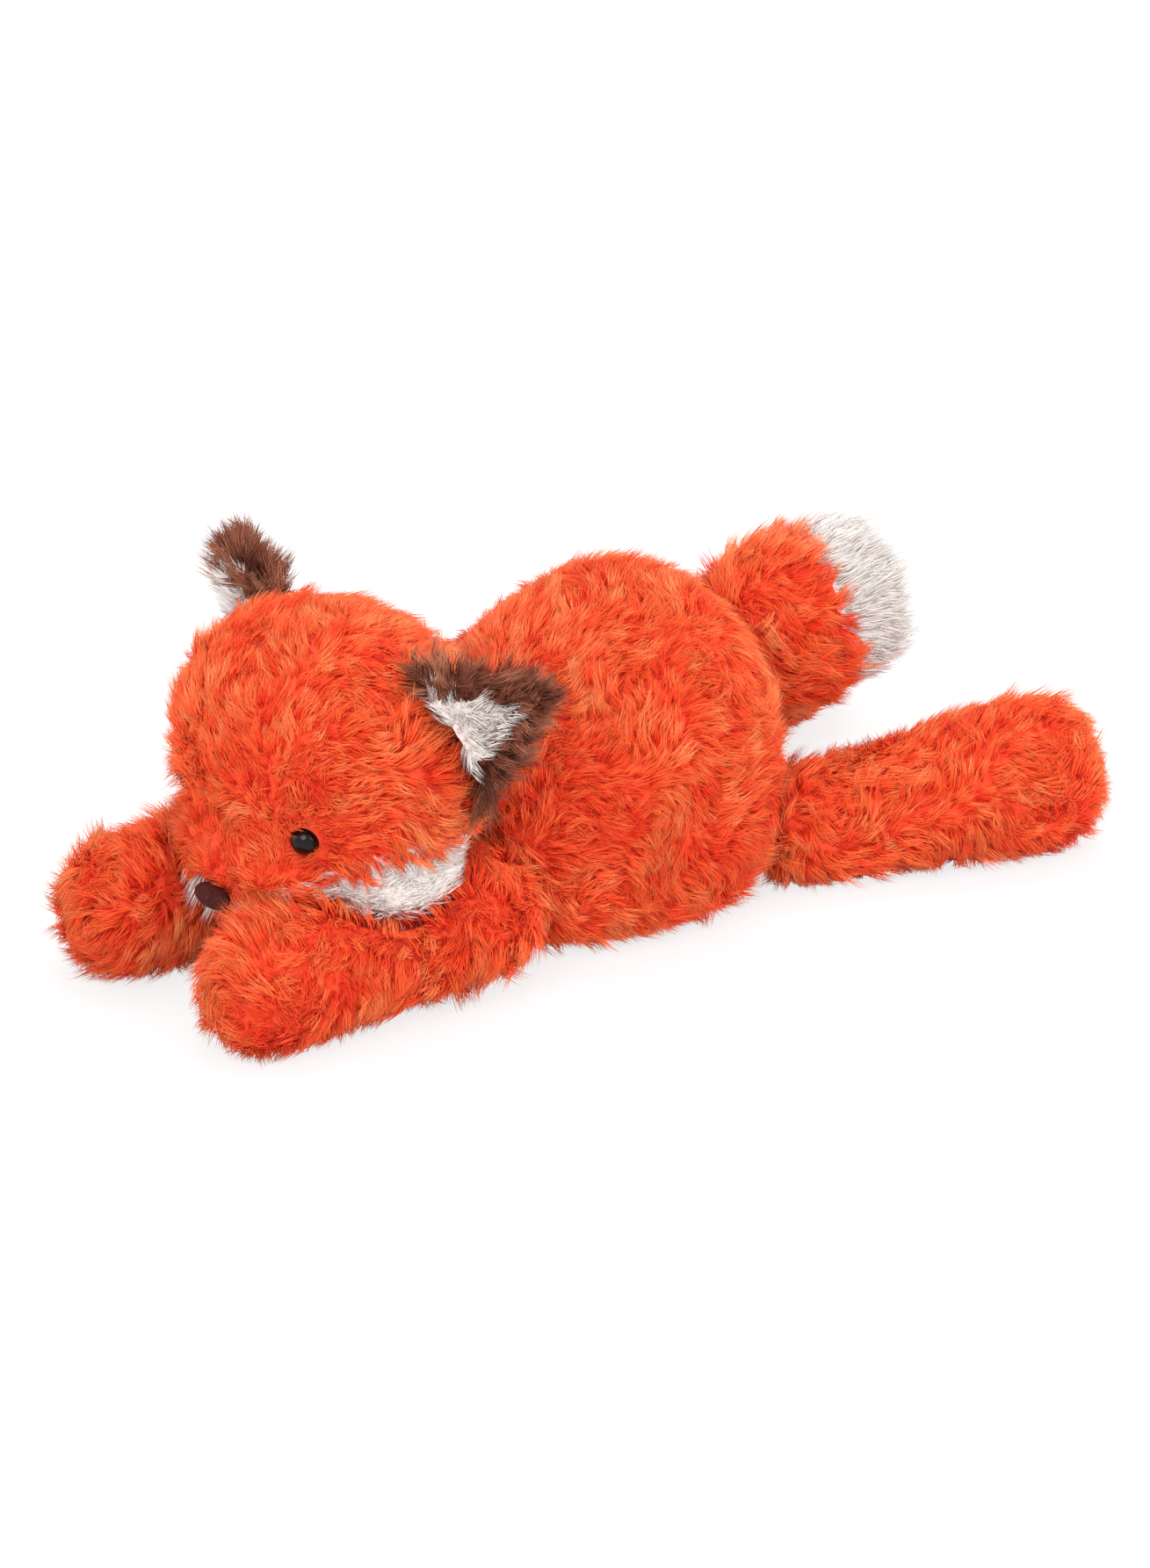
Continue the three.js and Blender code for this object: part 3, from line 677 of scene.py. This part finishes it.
def scatter(piece, spacing, rng):
    """Points spread over a cover, none nearer to its neighbours than the spacing."""
    mesh = piece.data
    mesh.calc_loop_triangles()
    places = rows_of(mesh.vertices, "co")
    normals = rows_of(mesh.vertices, "normal")
    triangles = rows_of(mesh.loop_triangles, "vertices", int)
    a, b, c = (places[triangles[:, corner]] for corner in range(3))
    area = np.linalg.norm(np.cross(b - a, c - a), axis=1) / 2
    tries = int(TRIES_PER_SPOT * area.sum() / spacing**2)
    pick = rng.choice(len(triangles), tries, p=area / area.sum())
    s, t = rng.rand(tries), rng.rand(tries)
    fold = s + t > 1
    s[fold], t[fold] = 1 - s[fold], 1 - t[fold]
    share = np.stack([1 - s - t, s, t], 1)[:, :, None]
    points = (np.stack([a[pick], b[pick], c[pick]], 1) * share).sum(1)
    ups = unit((normals[triangles[pick]] * share).sum(1))
    kept = thinned(points, spacing)
    return points[kept], ups[kept]


RAY = Vector((0.31, 0.17, 0.935)).normalized()
RAY_STEP = 0.01 * MM
MOST_CROSSINGS = 20


def inside(tree, point):
    """Whether a ray from the point leaves the closed cover an odd number of times."""
    crossings = 0
    at = Vector(point)
    while crossings < MOST_CROSSINGS:
        spot = tree.ray_cast(at, RAY)[0]
        if spot is None:
            break
        crossings += 1
        at = spot + RAY * RAY_STEP
    return crossings % 2 == 1


def buried(points, body):
    """Whether each point is well inside the cover of another body."""
    deep = np.zeros(len(points), bool)
    for other, tree in COVER_TREES.items():
        if other == body or other.endswith("_ear"):
            continue
        corners = np.array(COVERS[other].bound_box)
        near = ((points > corners.min(0)) & (points < corners.max(0))).all(1) & ~deep
        for i in np.nonzero(near)[0]:
            point = points[i].tolist()
            if tree.find_nearest(point)[3] > BURIED and inside(tree, point):
                deep[i] = True
    return deep


def swirl(points, size, seed):
    """A smooth wandering value for each point, about -1 to 1."""
    shift = Vector([seed * step for step in SEED_STEPS])
    return np.array([NOISE_GAIN * noise.noise(Vector(p) / size + shift) for p in points.tolist()])


def laid_flat(flow, ups):
    """The part of a flow that runs along the cover."""
    return unit(flow - ups * (flow * ups).sum(1)[:, None])


def turned(flow, ups, angle):
    """A flow along the cover, turned on it by an angle in radians."""
    side = np.cross(ups, flow)
    return flow * np.cos(angle)[:, None] + side * np.sin(angle)[:, None]


def curve_of(roots, ups, flow, length, root_lift, tip_lift, curl):
    """Root, elbow and tip of a lock that rises from its root, then turns and lies over."""
    a, b = np.radians(root_lift)[:, None], np.radians(tip_lift)[:, None]
    first = turned(flow, ups, -curl / 2) * np.cos(a) + ups * np.sin(a)
    last = turned(flow, ups, curl / 2) * np.cos(b) + ups * np.sin(b)
    half = (length / 2)[:, None]
    start = roots - ups * ROOT_DEPTH
    elbow = start + first * half
    return start, elbow, elbow + last * half


def on_curve(start, elbow, tip, s):
    """The point at share s of a curve that sets out towards its elbow and ends at its tip."""
    return start * (1 - s) ** 2 + elbow * (2 * s * (1 - s)) + tip * s**2


def bent(lock, start, elbow, tip, side, wide):
    """Copies of a modelled lock, each laid along its own curve: a place for each vertex."""
    s = lock.places[:, 2][None, :, None]
    start, elbow, tip, side = start[:, None], elbow[:, None], tip[:, None], side[:, None]
    line = on_curve(start, elbow, tip, s)
    along = unit((elbow - start) * (1 - s) + (tip - elbow) * s)
    over = unit(np.cross(along, np.broadcast_to(side, along.shape)))
    x = lock.places[None, :, 0, None] * wide[:, None, None]
    y = lock.places[None, :, 1, None] * wide[:, None, None]
    return line + side * x + over * y


def tones_of(tone, lock):
    """Where each vertex of each copy reads its colour: tone across, root to tip upwards."""
    tone = TONE_EDGE + tone.clip(0, 1) * (1 - 2 * TONE_EDGE - TONE_WIDTH)
    u = tone[:, lock.strand] + lock.across[None, :] * TONE_WIDTH
    height = lock.places[:, 2] / lock.places[:, 2].max()
    v = np.broadcast_to(ROOT_EDGE + (1 - 2 * ROOT_EDGE) * height[None, :], u.shape)
    return np.stack([u, v], -1)


# Growing the pile


class Pile:
    """The locks of one piece of pile, gathered until they are woven into one mesh."""

    def __init__(self):
        self.places, self.faces, self.tones = [], [], []
        self.normals, self.shares, self.count = [], [], 0

    def add(self, lock, places, tones, ups, line, own_share):
        """Adds copies of a lock. line is the middle of its tuft beside each vertex."""
        copies, size = places.shape[:2]
        if not copies:
            return
        self.places.append(places.reshape(-1, 3))
        first = self.count + np.arange(copies)[:, None, None] * size
        self.faces.append((lock.faces[None] + first).reshape(-1, 3))
        self.tones.append(tones.reshape(-1, 2))
        out = places - line
        out = out / np.maximum(np.linalg.norm(out, axis=-1, keepdims=True), TUFT_RADIUS)
        self.normals.append(unit(out + ups[:, None]).reshape(-1, 3))
        self.shares.append(np.repeat(own_share, size))
        self.count += copies * size

    def blended_normals(self, own):
        """Each strand's own normals mixed with its tuft's, which shade the pile softly."""
        tuft = np.concatenate(self.normals)
        share = np.concatenate(self.shares)[:, None]
        facing = (own * tuft).sum(1, keepdims=True) + BACK_START
        share = 1 - (1 - share) * (facing.clip(0, BACK_WIDTH) / BACK_WIDTH)
        return unit(own * share + tuft * (1 - share))

    def weave(self, name, body, finish):
        """Makes the mesh. Strands that would go through the floor are laid on it."""
        places = np.concatenate(self.places)
        faces = np.concatenate(self.faces)
        tones = np.concatenate(self.tones)
        rest = FLOOR_CLEAR + FLOOR_SLACK * np.random.RandomState(1).rand(len(places))
        places[:, 2] = np.maximum(places[:, 2], rest)
        mesh = bpy.data.meshes.new(name)
        mesh.vertices.add(len(places))
        mesh.vertices.foreach_set("co", places.astype(np.float32).ravel())
        mesh.loops.add(len(faces) * 3)
        mesh.loops.foreach_set("vertex_index", faces.astype(np.int32).ravel())
        mesh.polygons.add(len(faces))
        starts = np.arange(0, len(faces) * 3, 3, dtype=np.int32)
        mesh.polygons.foreach_set("loop_start", starts)
        mesh.polygons.foreach_set("use_smooth", np.ones(len(faces), bool))
        mesh.update(calc_edges=True)
        layer = mesh.uv_layers.new(name="OFBake")
        layer.data.foreach_set("uv", tones[faces.ravel()].astype(np.float32).ravel())
        mesh.materials.append(finish)
        normals = self.blended_normals(rows_of(mesh.vertices, "normal"))
        mesh.normals_split_custom_set_from_vertices(normals.tolist())
        piece = bpy.data.objects.new(name, mesh)
        bpy.context.scene.collection.objects.link(piece)
        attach(piece, body)


JOINT_SPOTS = {joint["child"]: np.array(joint["pos_m"]) for joint in frame["joints"]}


def seam_trim(points):
    """Share of the full length: longer pile over the sewn joints, which hides their creases."""
    gaps = [np.linalg.norm(points - spot, axis=1) for spot in JOINT_SPOTS.values()]
    return 1 + SEAM_PILE * (1 - np.min(gaps, axis=0) / SEAM_REACH).clip(0, 1)


def no_change(points):
    """Nothing for each point, where grow is given no drop or rise."""
    return np.zeros(len(points))


def grow(body, panels, flow_at, regions, seed, swirl_turn, swirl_size,
         spacing=LOCK_SPACING, trim_at=seam_trim, drop_at=no_change, rise_at=no_change):
    """Grows the pile of one body.

    regions holds, for each piece of pile, its panels, finish, slot, length, lift at root and
    lift at tip. The pile wanders off its flow by up to swirl_turn, in radians, over patches
    of swirl_size. flow_at gives the way it lies at each point, trim_at its share of the full
    length, drop_at how far a panel's pile hangs over the one below, and rise_at degrees of
    further lift."""
    rng = np.random.RandomState(seed)
    cover = COVERS[body]

    hearts, heart_ups = scatter(cover, TUFT_SPACING, rng)
    keep = ~buried(hearts, body)
    hearts, heart_ups = hearts[keep], heart_ups[keep]
    wander = swirl(hearts, swirl_size, seed) * swirl_turn
    wander = wander + rng.normal(0, TUFT_SCATTER, len(hearts))
    wander += swirl(hearts, swirl_size * FINE_SIZE, seed + FINE_SEED) * FINE_TURN
    panel = nearest_panel(hearts + UP * drop_at(hearts)[:, None], panels)
    calm = np.array([CALM.get(node, 1.0) for node in panels])[panel]
    heart_flow = turned(laid_flat(flow_at(hearts), heart_ups), heart_ups, wander * calm)
    curls = swirl(hearts, swirl_size * CURL_SIZE, seed + CURL_SEED) * CURL * calm
    odd = rng.normal(0, 1, len(hearts)).clip(-LENGTH_LIMIT, LENGTH_LIMIT)
    sizes = 1 + LENGTH_SCATTER * odd
    waves = LIFT_WAVE * swirl(hearts, LIFT_SIZE, seed + LIFT_SEED)
    lifts = (waves + rng.normal(0, LIFT_SCATTER, len(hearts))) * calm
    tones = TONE_MIDDLE + TONE_WAVE * swirl(hearts, TONE_SIZE, seed + TONE_SEED)
    # Painted light and shade: lifted tufts get a lighter tone, low-lying ones a darker
    tones = tones + lifts * PAINTED_LIGHT_BY_LIFT
    tones = tones + rng.normal(0, TUFT_TONE, len(hearts)) * calm
    lifts = lifts + rise_at(hearts)
    sizes = sizes * trim_at(hearts)

    roots, ups = scatter(cover, spacing, rng)
    finder = KDTree(len(hearts))
    for i, heart in enumerate(hearts.tolist()):
        finder.insert(heart, i)
    finder.balance()
    found = [finder.find(p) for p in roots.tolist()]
    own = np.array([f[1] for f in found])
    near = np.array([f[2] for f in found]) < TUFT_REACH
    near &= trim_at(roots) > 0
    roots, ups, own = roots[near], ups[near], own[near]

    for name, (covered, finish, slot, length, root_lift, tip_lift) in regions.items():
        wanted = np.isin(panel, [panels.index(p) for p in covered])
        locks = np.nonzero(wanted[own])[0]
        if len(locks) > MOST_LOCKS:
            locks = rng.permutation(locks)[:MOST_LOCKS]
        lengths = length * sizes
        root_lifts, tip_lifts = root_lift + lifts / 2, tip_lift + lifts
        tufts = curve_of(hearts, heart_ups, heart_flow, lengths, root_lifts, tip_lifts, curls)
        fur = Pile()
        kind = rng.randint(0, len(LOCKS), len(locks))
        for k, lock in enumerate(LOCKS):
            mine = locks[kind == k]
            count, mates = len(mine), own[mine]
            fray = TUFT_FRAY * calm[mates][:, None] * rng.normal(0, 1, (count, 3))
            flow = laid_flat(heart_flow[mates] + fray, ups[mine])
            size = lengths[mates] * rng.uniform(*LOCK_LENGTHS, count)
            start, elbow, tip = curve_of(
                roots[mine], ups[mine], flow, size,
                root_lifts[mates], tip_lifts[mates], curls[mates],
            )
            gather = rng.uniform(*GATHER, count)[:, None]
            elbow_gather = gather * ELBOW_GATHER
            elbow = elbow * (1 - elbow_gather) + tufts[1][mates] * elbow_gather
            tip = tip * (1 - gather) + tufts[2][mates] * gather
            wide = LOCK_RADIUS * rng.uniform(*LOCK_WIDTHS, count)
            side = unit(np.cross(ups[mine], flow))
            places = bent(lock, start, elbow, tip, side, wide)
            heights = lock.places[:, 2][None, :, None].clip(0, 1)
            line = on_curve(*(part[mates][:, None] for part in tufts), heights)
            tone = tones[mates][:, None] + rng.normal(0, LOCK_TONE, (count, 1))
            tone = tone + rng.normal(0, STRAND_TONE, (count, STRANDS_IN_LOCK))
            own_share = STRAND_SHADE * calm[mates]
            fur.add(lock, places, tones_of(tone, lock), ups[mine], line, own_share)
        fur.weave(name, body, finish)


# How the pile lies on each body


def middle_of(node):
    """The middle of a frame node's box."""
    low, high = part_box(node)
    return np.array((low + high) / 2)


def gap_to(spot, points):
    """How far each point is from a spot."""
    return np.linalg.norm(points - spot, axis=1)


NOSE_SPOT = middle_of("nose")
EYE_SPOTS = [corners_of(side + "_eye").mean(0) for side in ("left", "right")]


def body_flow(points):
    """Back and down, from the nape towards the tail, and out to the sides."""
    back = np.array([0.0, 1.0, BODY_SAG])
    return np.tile(back, (len(points), 1)) + points * np.array([BODY_SPLAY, 0, 0])


def head_flow(points):
    """Away from the nose, over the forehead, down the cheeks, and parting round each eye."""
    flow = unit(points - NOSE_SPOT) + np.array([0.0, 0.0, HEAD_SAG])
    for spot, parting in zip(EYE_SPOTS, EYE_PARTINGS):
        near = (1 - gap_to(spot, points)[:, None] / EYE_SHORT).clip(0, 1)
        flow = flow + unit(points - spot) * near * parting
    return flow


def ear_flow(side):
    """Out from between the ear's foot and its lining's middle, towards every edge."""
    start = (middle_of(side + "_ear_lining") + JOINT_SPOTS[side + "_ear"]) / 2
    return lambda points: unit(points - start)


def limb_flow(body, end):
    """Along the limb from its joint to its end, and a little down."""
    along = unit(end - JOINT_SPOTS[body]) + np.array([0.0, 0.0, LIMB_SAG])
    return lambda points: np.tile(along, (len(points), 1))


def clear_round(spot, points, clear, short, least):
    """Share of the full length: none under a bead or pad, least round it, 1 from short on."""
    gap = gap_to(spot, points)
    share = ((gap - clear) / (short - clear)).clip(0, 1) * (1 - least) + least
    share[gap < clear] = 0
    return share


def head_trim(points):
    """Short round the eyes and the nose, but long on the white pile beside the nose."""
    share = np.ones(len(points))
    for spot, least in zip(EYE_SPOTS, EYE_LEAST):
        share = np.minimum(share, clear_round(spot, points, EYE_CLEAR, EYE_SHORT, least))
    nose = clear_round(NOSE_SPOT, points, NOSE_CLEAR, NOSE_SHORT, NOSE_LEAST)
    share = np.minimum(share, nose)
    return share * seam_trim(points) * (1 + WHISKER_PILE * beside_nose(points))


def face_drop(points):
    """How far the face's pile hangs over the jaw's seam, by the distance from the nose."""
    gap = gap_to(NOSE_SPOT, points)
    return np.interp(gap / MM, *zip(*FACE_DROPS)) * MM


def beside_nose(points):
    """1 on the white pile against the nose, less away from it, 0 on the orange pile."""
    gap = gap_to(NOSE_SPOT, points)
    on_jaw = nearest_panel(points, HEAD_PANELS) == HEAD_PANELS.index("jaw_panel")
    return on_jaw * ((WHISKER_REACH - gap) / (WHISKER_REACH / 2)).clip(0, 1)


def head_rise(points):
    """The pile stands up round the right eye and beside the nose."""
    gap = gap_to(EYE_SPOTS[1], points)
    brow = BROW_RISE * (1 - (gap - EYE_CLEAR) / EYE_SHORT).clip(0, 1)
    return brow + WHISKER_RISE * beside_nose(points)


def under_jaw(points):
    """How near the head is to each point: 1 against it, 0 from JAW_REACH on."""
    gaps = np.array([COVER_TREES["head"].find_nearest(p)[3] for p in points.tolist()])
    return (1 - gaps / JAW_REACH).clip(0, 1)


def arm_rise(points):
    """The arms' pile stands up where the jaw lies on it."""
    return JAW_RISE * under_jaw(points)


def arm_trim(points):
    """Longer under the jaw, where the pile isn't worn flat."""
    return seam_trim(points) * (1 + JAW_PILE * under_jaw(points))


def orange_fur(panels, pile=LONG_PILE):
    """A region of orange pile, as grow takes it."""
    return (panels, ORANGE_PILE, "orange_fur", *pile)


def white_fur(panel, pile):
    """A region of white pile on one panel, as grow takes it."""
    return ([panel], WHITE_PILE, "white_fur", *pile)


def grow_limbs(side, seed):
    """The pile of one side's arm, leg and ear."""
    arm, leg, ear = limb_panels(side)
    paw = np.array([middle_of(arm[0])[0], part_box(arm[0])[0][1], PAW_HEIGHT])
    grow(
        side + "_arm", arm, limb_flow(side + "_arm", paw),
        {side + "_arm_fur": orange_fur(arm, ARM_PILES[side])},
        seed + 1, swirl_turn=1.4, swirl_size=20 * MM, trim_at=arm_trim, rise_at=arm_rise,
    )
    grow(
        side + "_leg", leg, limb_flow(side + "_leg", middle_of(side + "_sole")),
        {side + "_leg_fur": orange_fur(leg)},
        seed + 2, swirl_turn=1.4, swirl_size=20 * MM,
    )
    back, lining = ear
    grow(
        side + "_ear", ear, ear_flow(side),
        {
            back + "_fur": ([back], BROWN_PILE, "brown_fur", *EAR_BACK_PILE),
            lining + "_fur": white_fur(lining, EAR_LINING_PILE),
        },
        seed + 3, swirl_turn=0.3, swirl_size=14 * MM, spacing=EAR_LOCK_SPACING,
    )


def grow_all():
    """The pile of every body."""
    grow(
        "body", BODY_PANELS, body_flow,
        {
            "belly_fur": orange_fur(["belly_panel"], BELLY_PILE),
            "left_back_fur": orange_fur(["left_back_panel"]),
            "right_back_fur": orange_fur(["right_back_panel"]),
        },
        seed=11, swirl_turn=1.5, swirl_size=24 * MM,
    )
    grow(
        "head", HEAD_PANELS, head_flow,
        {
            "left_face_fur": orange_fur(["left_face_panel"]),
            "right_face_fur": orange_fur(["right_face_panel"]),
            "jaw_fur": white_fur("jaw_panel", JAW_FUR),
        },
        seed=12, swirl_turn=1.1, swirl_size=22 * MM,
        trim_at=head_trim, drop_at=face_drop, rise_at=head_rise,
    )
    grow_limbs("left", 20)
    grow_limbs("right", 30)
    grow(
        "tail", TAIL_PANELS, limb_flow("tail", middle_of("tail_tip")),
        {
            "tail_fur": orange_fur(["tail_panel"]),
            "tail_tip_fur": white_fur("tail_tip", TAIL_TIP_PILE),
        },
        seed=41, swirl_turn=0.9, swirl_size=20 * MM,
    )


grow_all()


# Eyes and nose


def turn_bead(name, side):
    """A domed bead with a flat back and a flange, set in the face where the frame has it."""
    verts = corners_of(side + "_eye")
    centre = verts.mean(0)
    out = unit(centre - corners_of(side + "_eye_washer").mean(0))
    crown = ((verts - centre) @ out).max()
    apex = Vector(centre + out * crown)
    bpy.ops.object.select_all(action="DESELECT")
    bpy.ops.mesh.primitive_uv_sphere_add(
        segments=EYE_SEGMENTS, ring_count=EYE_RINGS, radius=EYE_RADIUS, location=(0, 0, 0)
    )
    piece = bpy.context.active_object
    piece.name = name
    bpy.ops.object.mode_set(mode="EDIT")
    bpy.ops.mesh.select_all(action="SELECT")
    bpy.ops.mesh.bisect(plane_co=(0, 0, -EYE_BACK), plane_no=(0, 0, 1), clear_inner=True)
    bpy.ops.mesh.extrude_edges_move(TRANSFORM_OT_translate={"value": (0, 0, -EYE_FLANGE)})
    bpy.ops.mesh.edge_face_add()
    bpy.ops.mesh.select_all(action="SELECT")
    bpy.ops.mesh.normals_make_consistent(inside=False)
    bpy.ops.object.mode_set(mode="OBJECT")
    turn = Vector((0, 0, 1)).rotation_difference(Vector(out)).to_matrix().to_4x4()
    piece.data.transform(Matrix.Translation(apex - Vector(out) * EYE_RADIUS) @ turn)
    bpy.ops.object.shade_smooth()
    piece.data.materials.append(EYE_BEAD)
    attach(piece, "head")
    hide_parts(side + "_eye")


def sew_nose():
    """The padded nose, a smoothed copy of its solid."""
    piece = merged_copy("nose_pad", ["nose"])
    finish_with(piece, "REMESH", mode="VOXEL", voxel_size=NOSE_VOXEL)
    finish_with(piece, "SMOOTH", factor=SMOOTH_STEP, iterations=NOSE_ROUNDS)
    finish_with(piece, "SUBSURF", levels=1, render_levels=1)
    take_up(piece)
    bpy.ops.object.shade_smooth()
    piece.data.materials.clear()
    piece.data.materials.append(NOSE_FELT)
    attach(piece, "head")
    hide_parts("nose")


for side in ("left", "right"):
    turn_bead(side + "_eye_bead", side)
sew_nose()


# Held inside

HELD_FINISHES = {
    "_filling": FIBRE_FILL,
    "pellet_pouch": POUCH_CLOTH,
    "_washer": WASHER_PLASTIC,
}
for node, held in frame["nodes"].items():
    for ending, finish in HELD_FINISHES.items():
        if node.endswith(ending):
            held.data.materials.clear()
            held.data.materials.append(finish)


# Studio


def most_of(tree, first, second):
    """The greater of two values."""
    node = tree.nodes.new("ShaderNodeMath")
    node.operation = "MAXIMUM"
    tree.links.new(first, node.inputs[0])
    tree.links.new(second, node.inputs[1])
    return node.outputs[0]


def lay_floor():
    """A floor that looks white and still takes the fox's shadow."""
    finish = bpy.data.materials.new("studio_floor")
    finish.use_nodes = True
    tree = finish.node_tree
    tree.nodes.clear()
    out = add_node(tree, "ShaderNodeOutputMaterial")
    grey = (FLOOR_GREY, FLOOR_GREY, FLOOR_GREY, 1)
    lit = add_node(tree, "ShaderNodeBsdfDiffuse", Color=grey)
    pale = add_node(tree, "ShaderNodeEmission", Color=WHITE, Strength=1.0)
    rays = add_node(tree, "ShaderNodeLightPath")
    seen = most_of(tree, rays.outputs["Is Camera Ray"], rays.outputs["Is Glossy Ray"])
    seen = most_of(tree, seen, rays.outputs["Is Transmission Ray"])
    share = tree.nodes.new("ShaderNodeMath")
    share.operation = "MULTIPLY"
    share.inputs[1].default_value = FLOOR_PALE_SHARE
    tree.links.new(seen, share.inputs[0])
    mix = add_node(tree, "ShaderNodeMixShader")
    tree.links.new(share.outputs[0], mix.inputs["Fac"])
    tree.links.new(lit.outputs["BSDF"], mix.inputs[1])
    tree.links.new(pale.outputs["Emission"], mix.inputs[2])
    tree.links.new(mix.outputs["Shader"], out.inputs["Surface"])
    bpy.ops.object.select_all(action="DESELECT")
    bpy.ops.mesh.primitive_plane_add(size=FLOOR_SIZE, location=(0, 0, 0))
    floor = bpy.context.active_object
    floor.name = "studio_floor"
    floor.data.materials.append(finish)


def light_studio():
    """White air all round, which the camera sees as white, and three broad lamps."""
    world = bpy.data.worlds.new("studio_air")
    bpy.context.scene.world = world
    world.use_nodes = True
    tree = world.node_tree
    tree.nodes.clear()
    out = add_node(tree, "ShaderNodeOutputWorld")
    air = add_node(tree, "ShaderNodeBackground", Color=WHITE, Strength=AIR_LIGHT)
    white = add_node(tree, "ShaderNodeBackground", Color=WHITE, Strength=1.0)
    rays = add_node(tree, "ShaderNodeLightPath")
    mix = add_node(tree, "ShaderNodeMixShader")
    tree.links.new(rays.outputs["Is Camera Ray"], mix.inputs["Fac"])
    tree.links.new(air.outputs["Background"], mix.inputs[1])
    tree.links.new(white.outputs["Background"], mix.inputs[2])
    tree.links.new(mix.outputs["Shader"], out.inputs["Surface"])
    for name, (place, power) in LAMPS.items():
        light = bpy.data.lights.new(name, "AREA")
        light.shape = "DISK"
        light.size = LAMP_SIZE
        light.energy = power
        lamp = bpy.data.objects.new(name, light)
        lamp.location = place
        lamp.rotation_euler = (LAMP_AIM - Vector(place)).to_track_quat("-Z", "Y").to_euler()
        bpy.context.scene.collection.objects.link(lamp)


def place_camera():
    """At the photograph's viewing angle: from the fox's left front, 25 degrees up."""
    across, ahead = math.cos(CAMERA_TURN), math.sin(CAMERA_TURN)
    level, rise = math.cos(CAMERA_TILT), math.sin(CAMERA_TILT)
    right = Vector((across, ahead, 0))
    back = Vector((ahead * level, -across * level, rise))
    up = back.cross(right)
    at = right * AIM_RIGHT + up * AIM_UP + back * CAMERA_DISTANCE
    lens = bpy.data.cameras.new("camera")
    lens.lens = CAMERA_LENS
    lens.sensor_width = CAMERA_SENSOR
    lens.clip_end = CAMERA_CLIP
    camera = bpy.data.objects.new("camera", lens)
    turn = Matrix((right, up, back)).transposed().to_4x4()
    camera.matrix_world = Matrix.Translation(at) @ turn
    bpy.context.scene.collection.objects.link(camera)
    bpy.context.scene.camera = camera


lay_floor()
light_studio()
place_camera()
bpy.context.scene.view_settings.view_transform = "Standard"
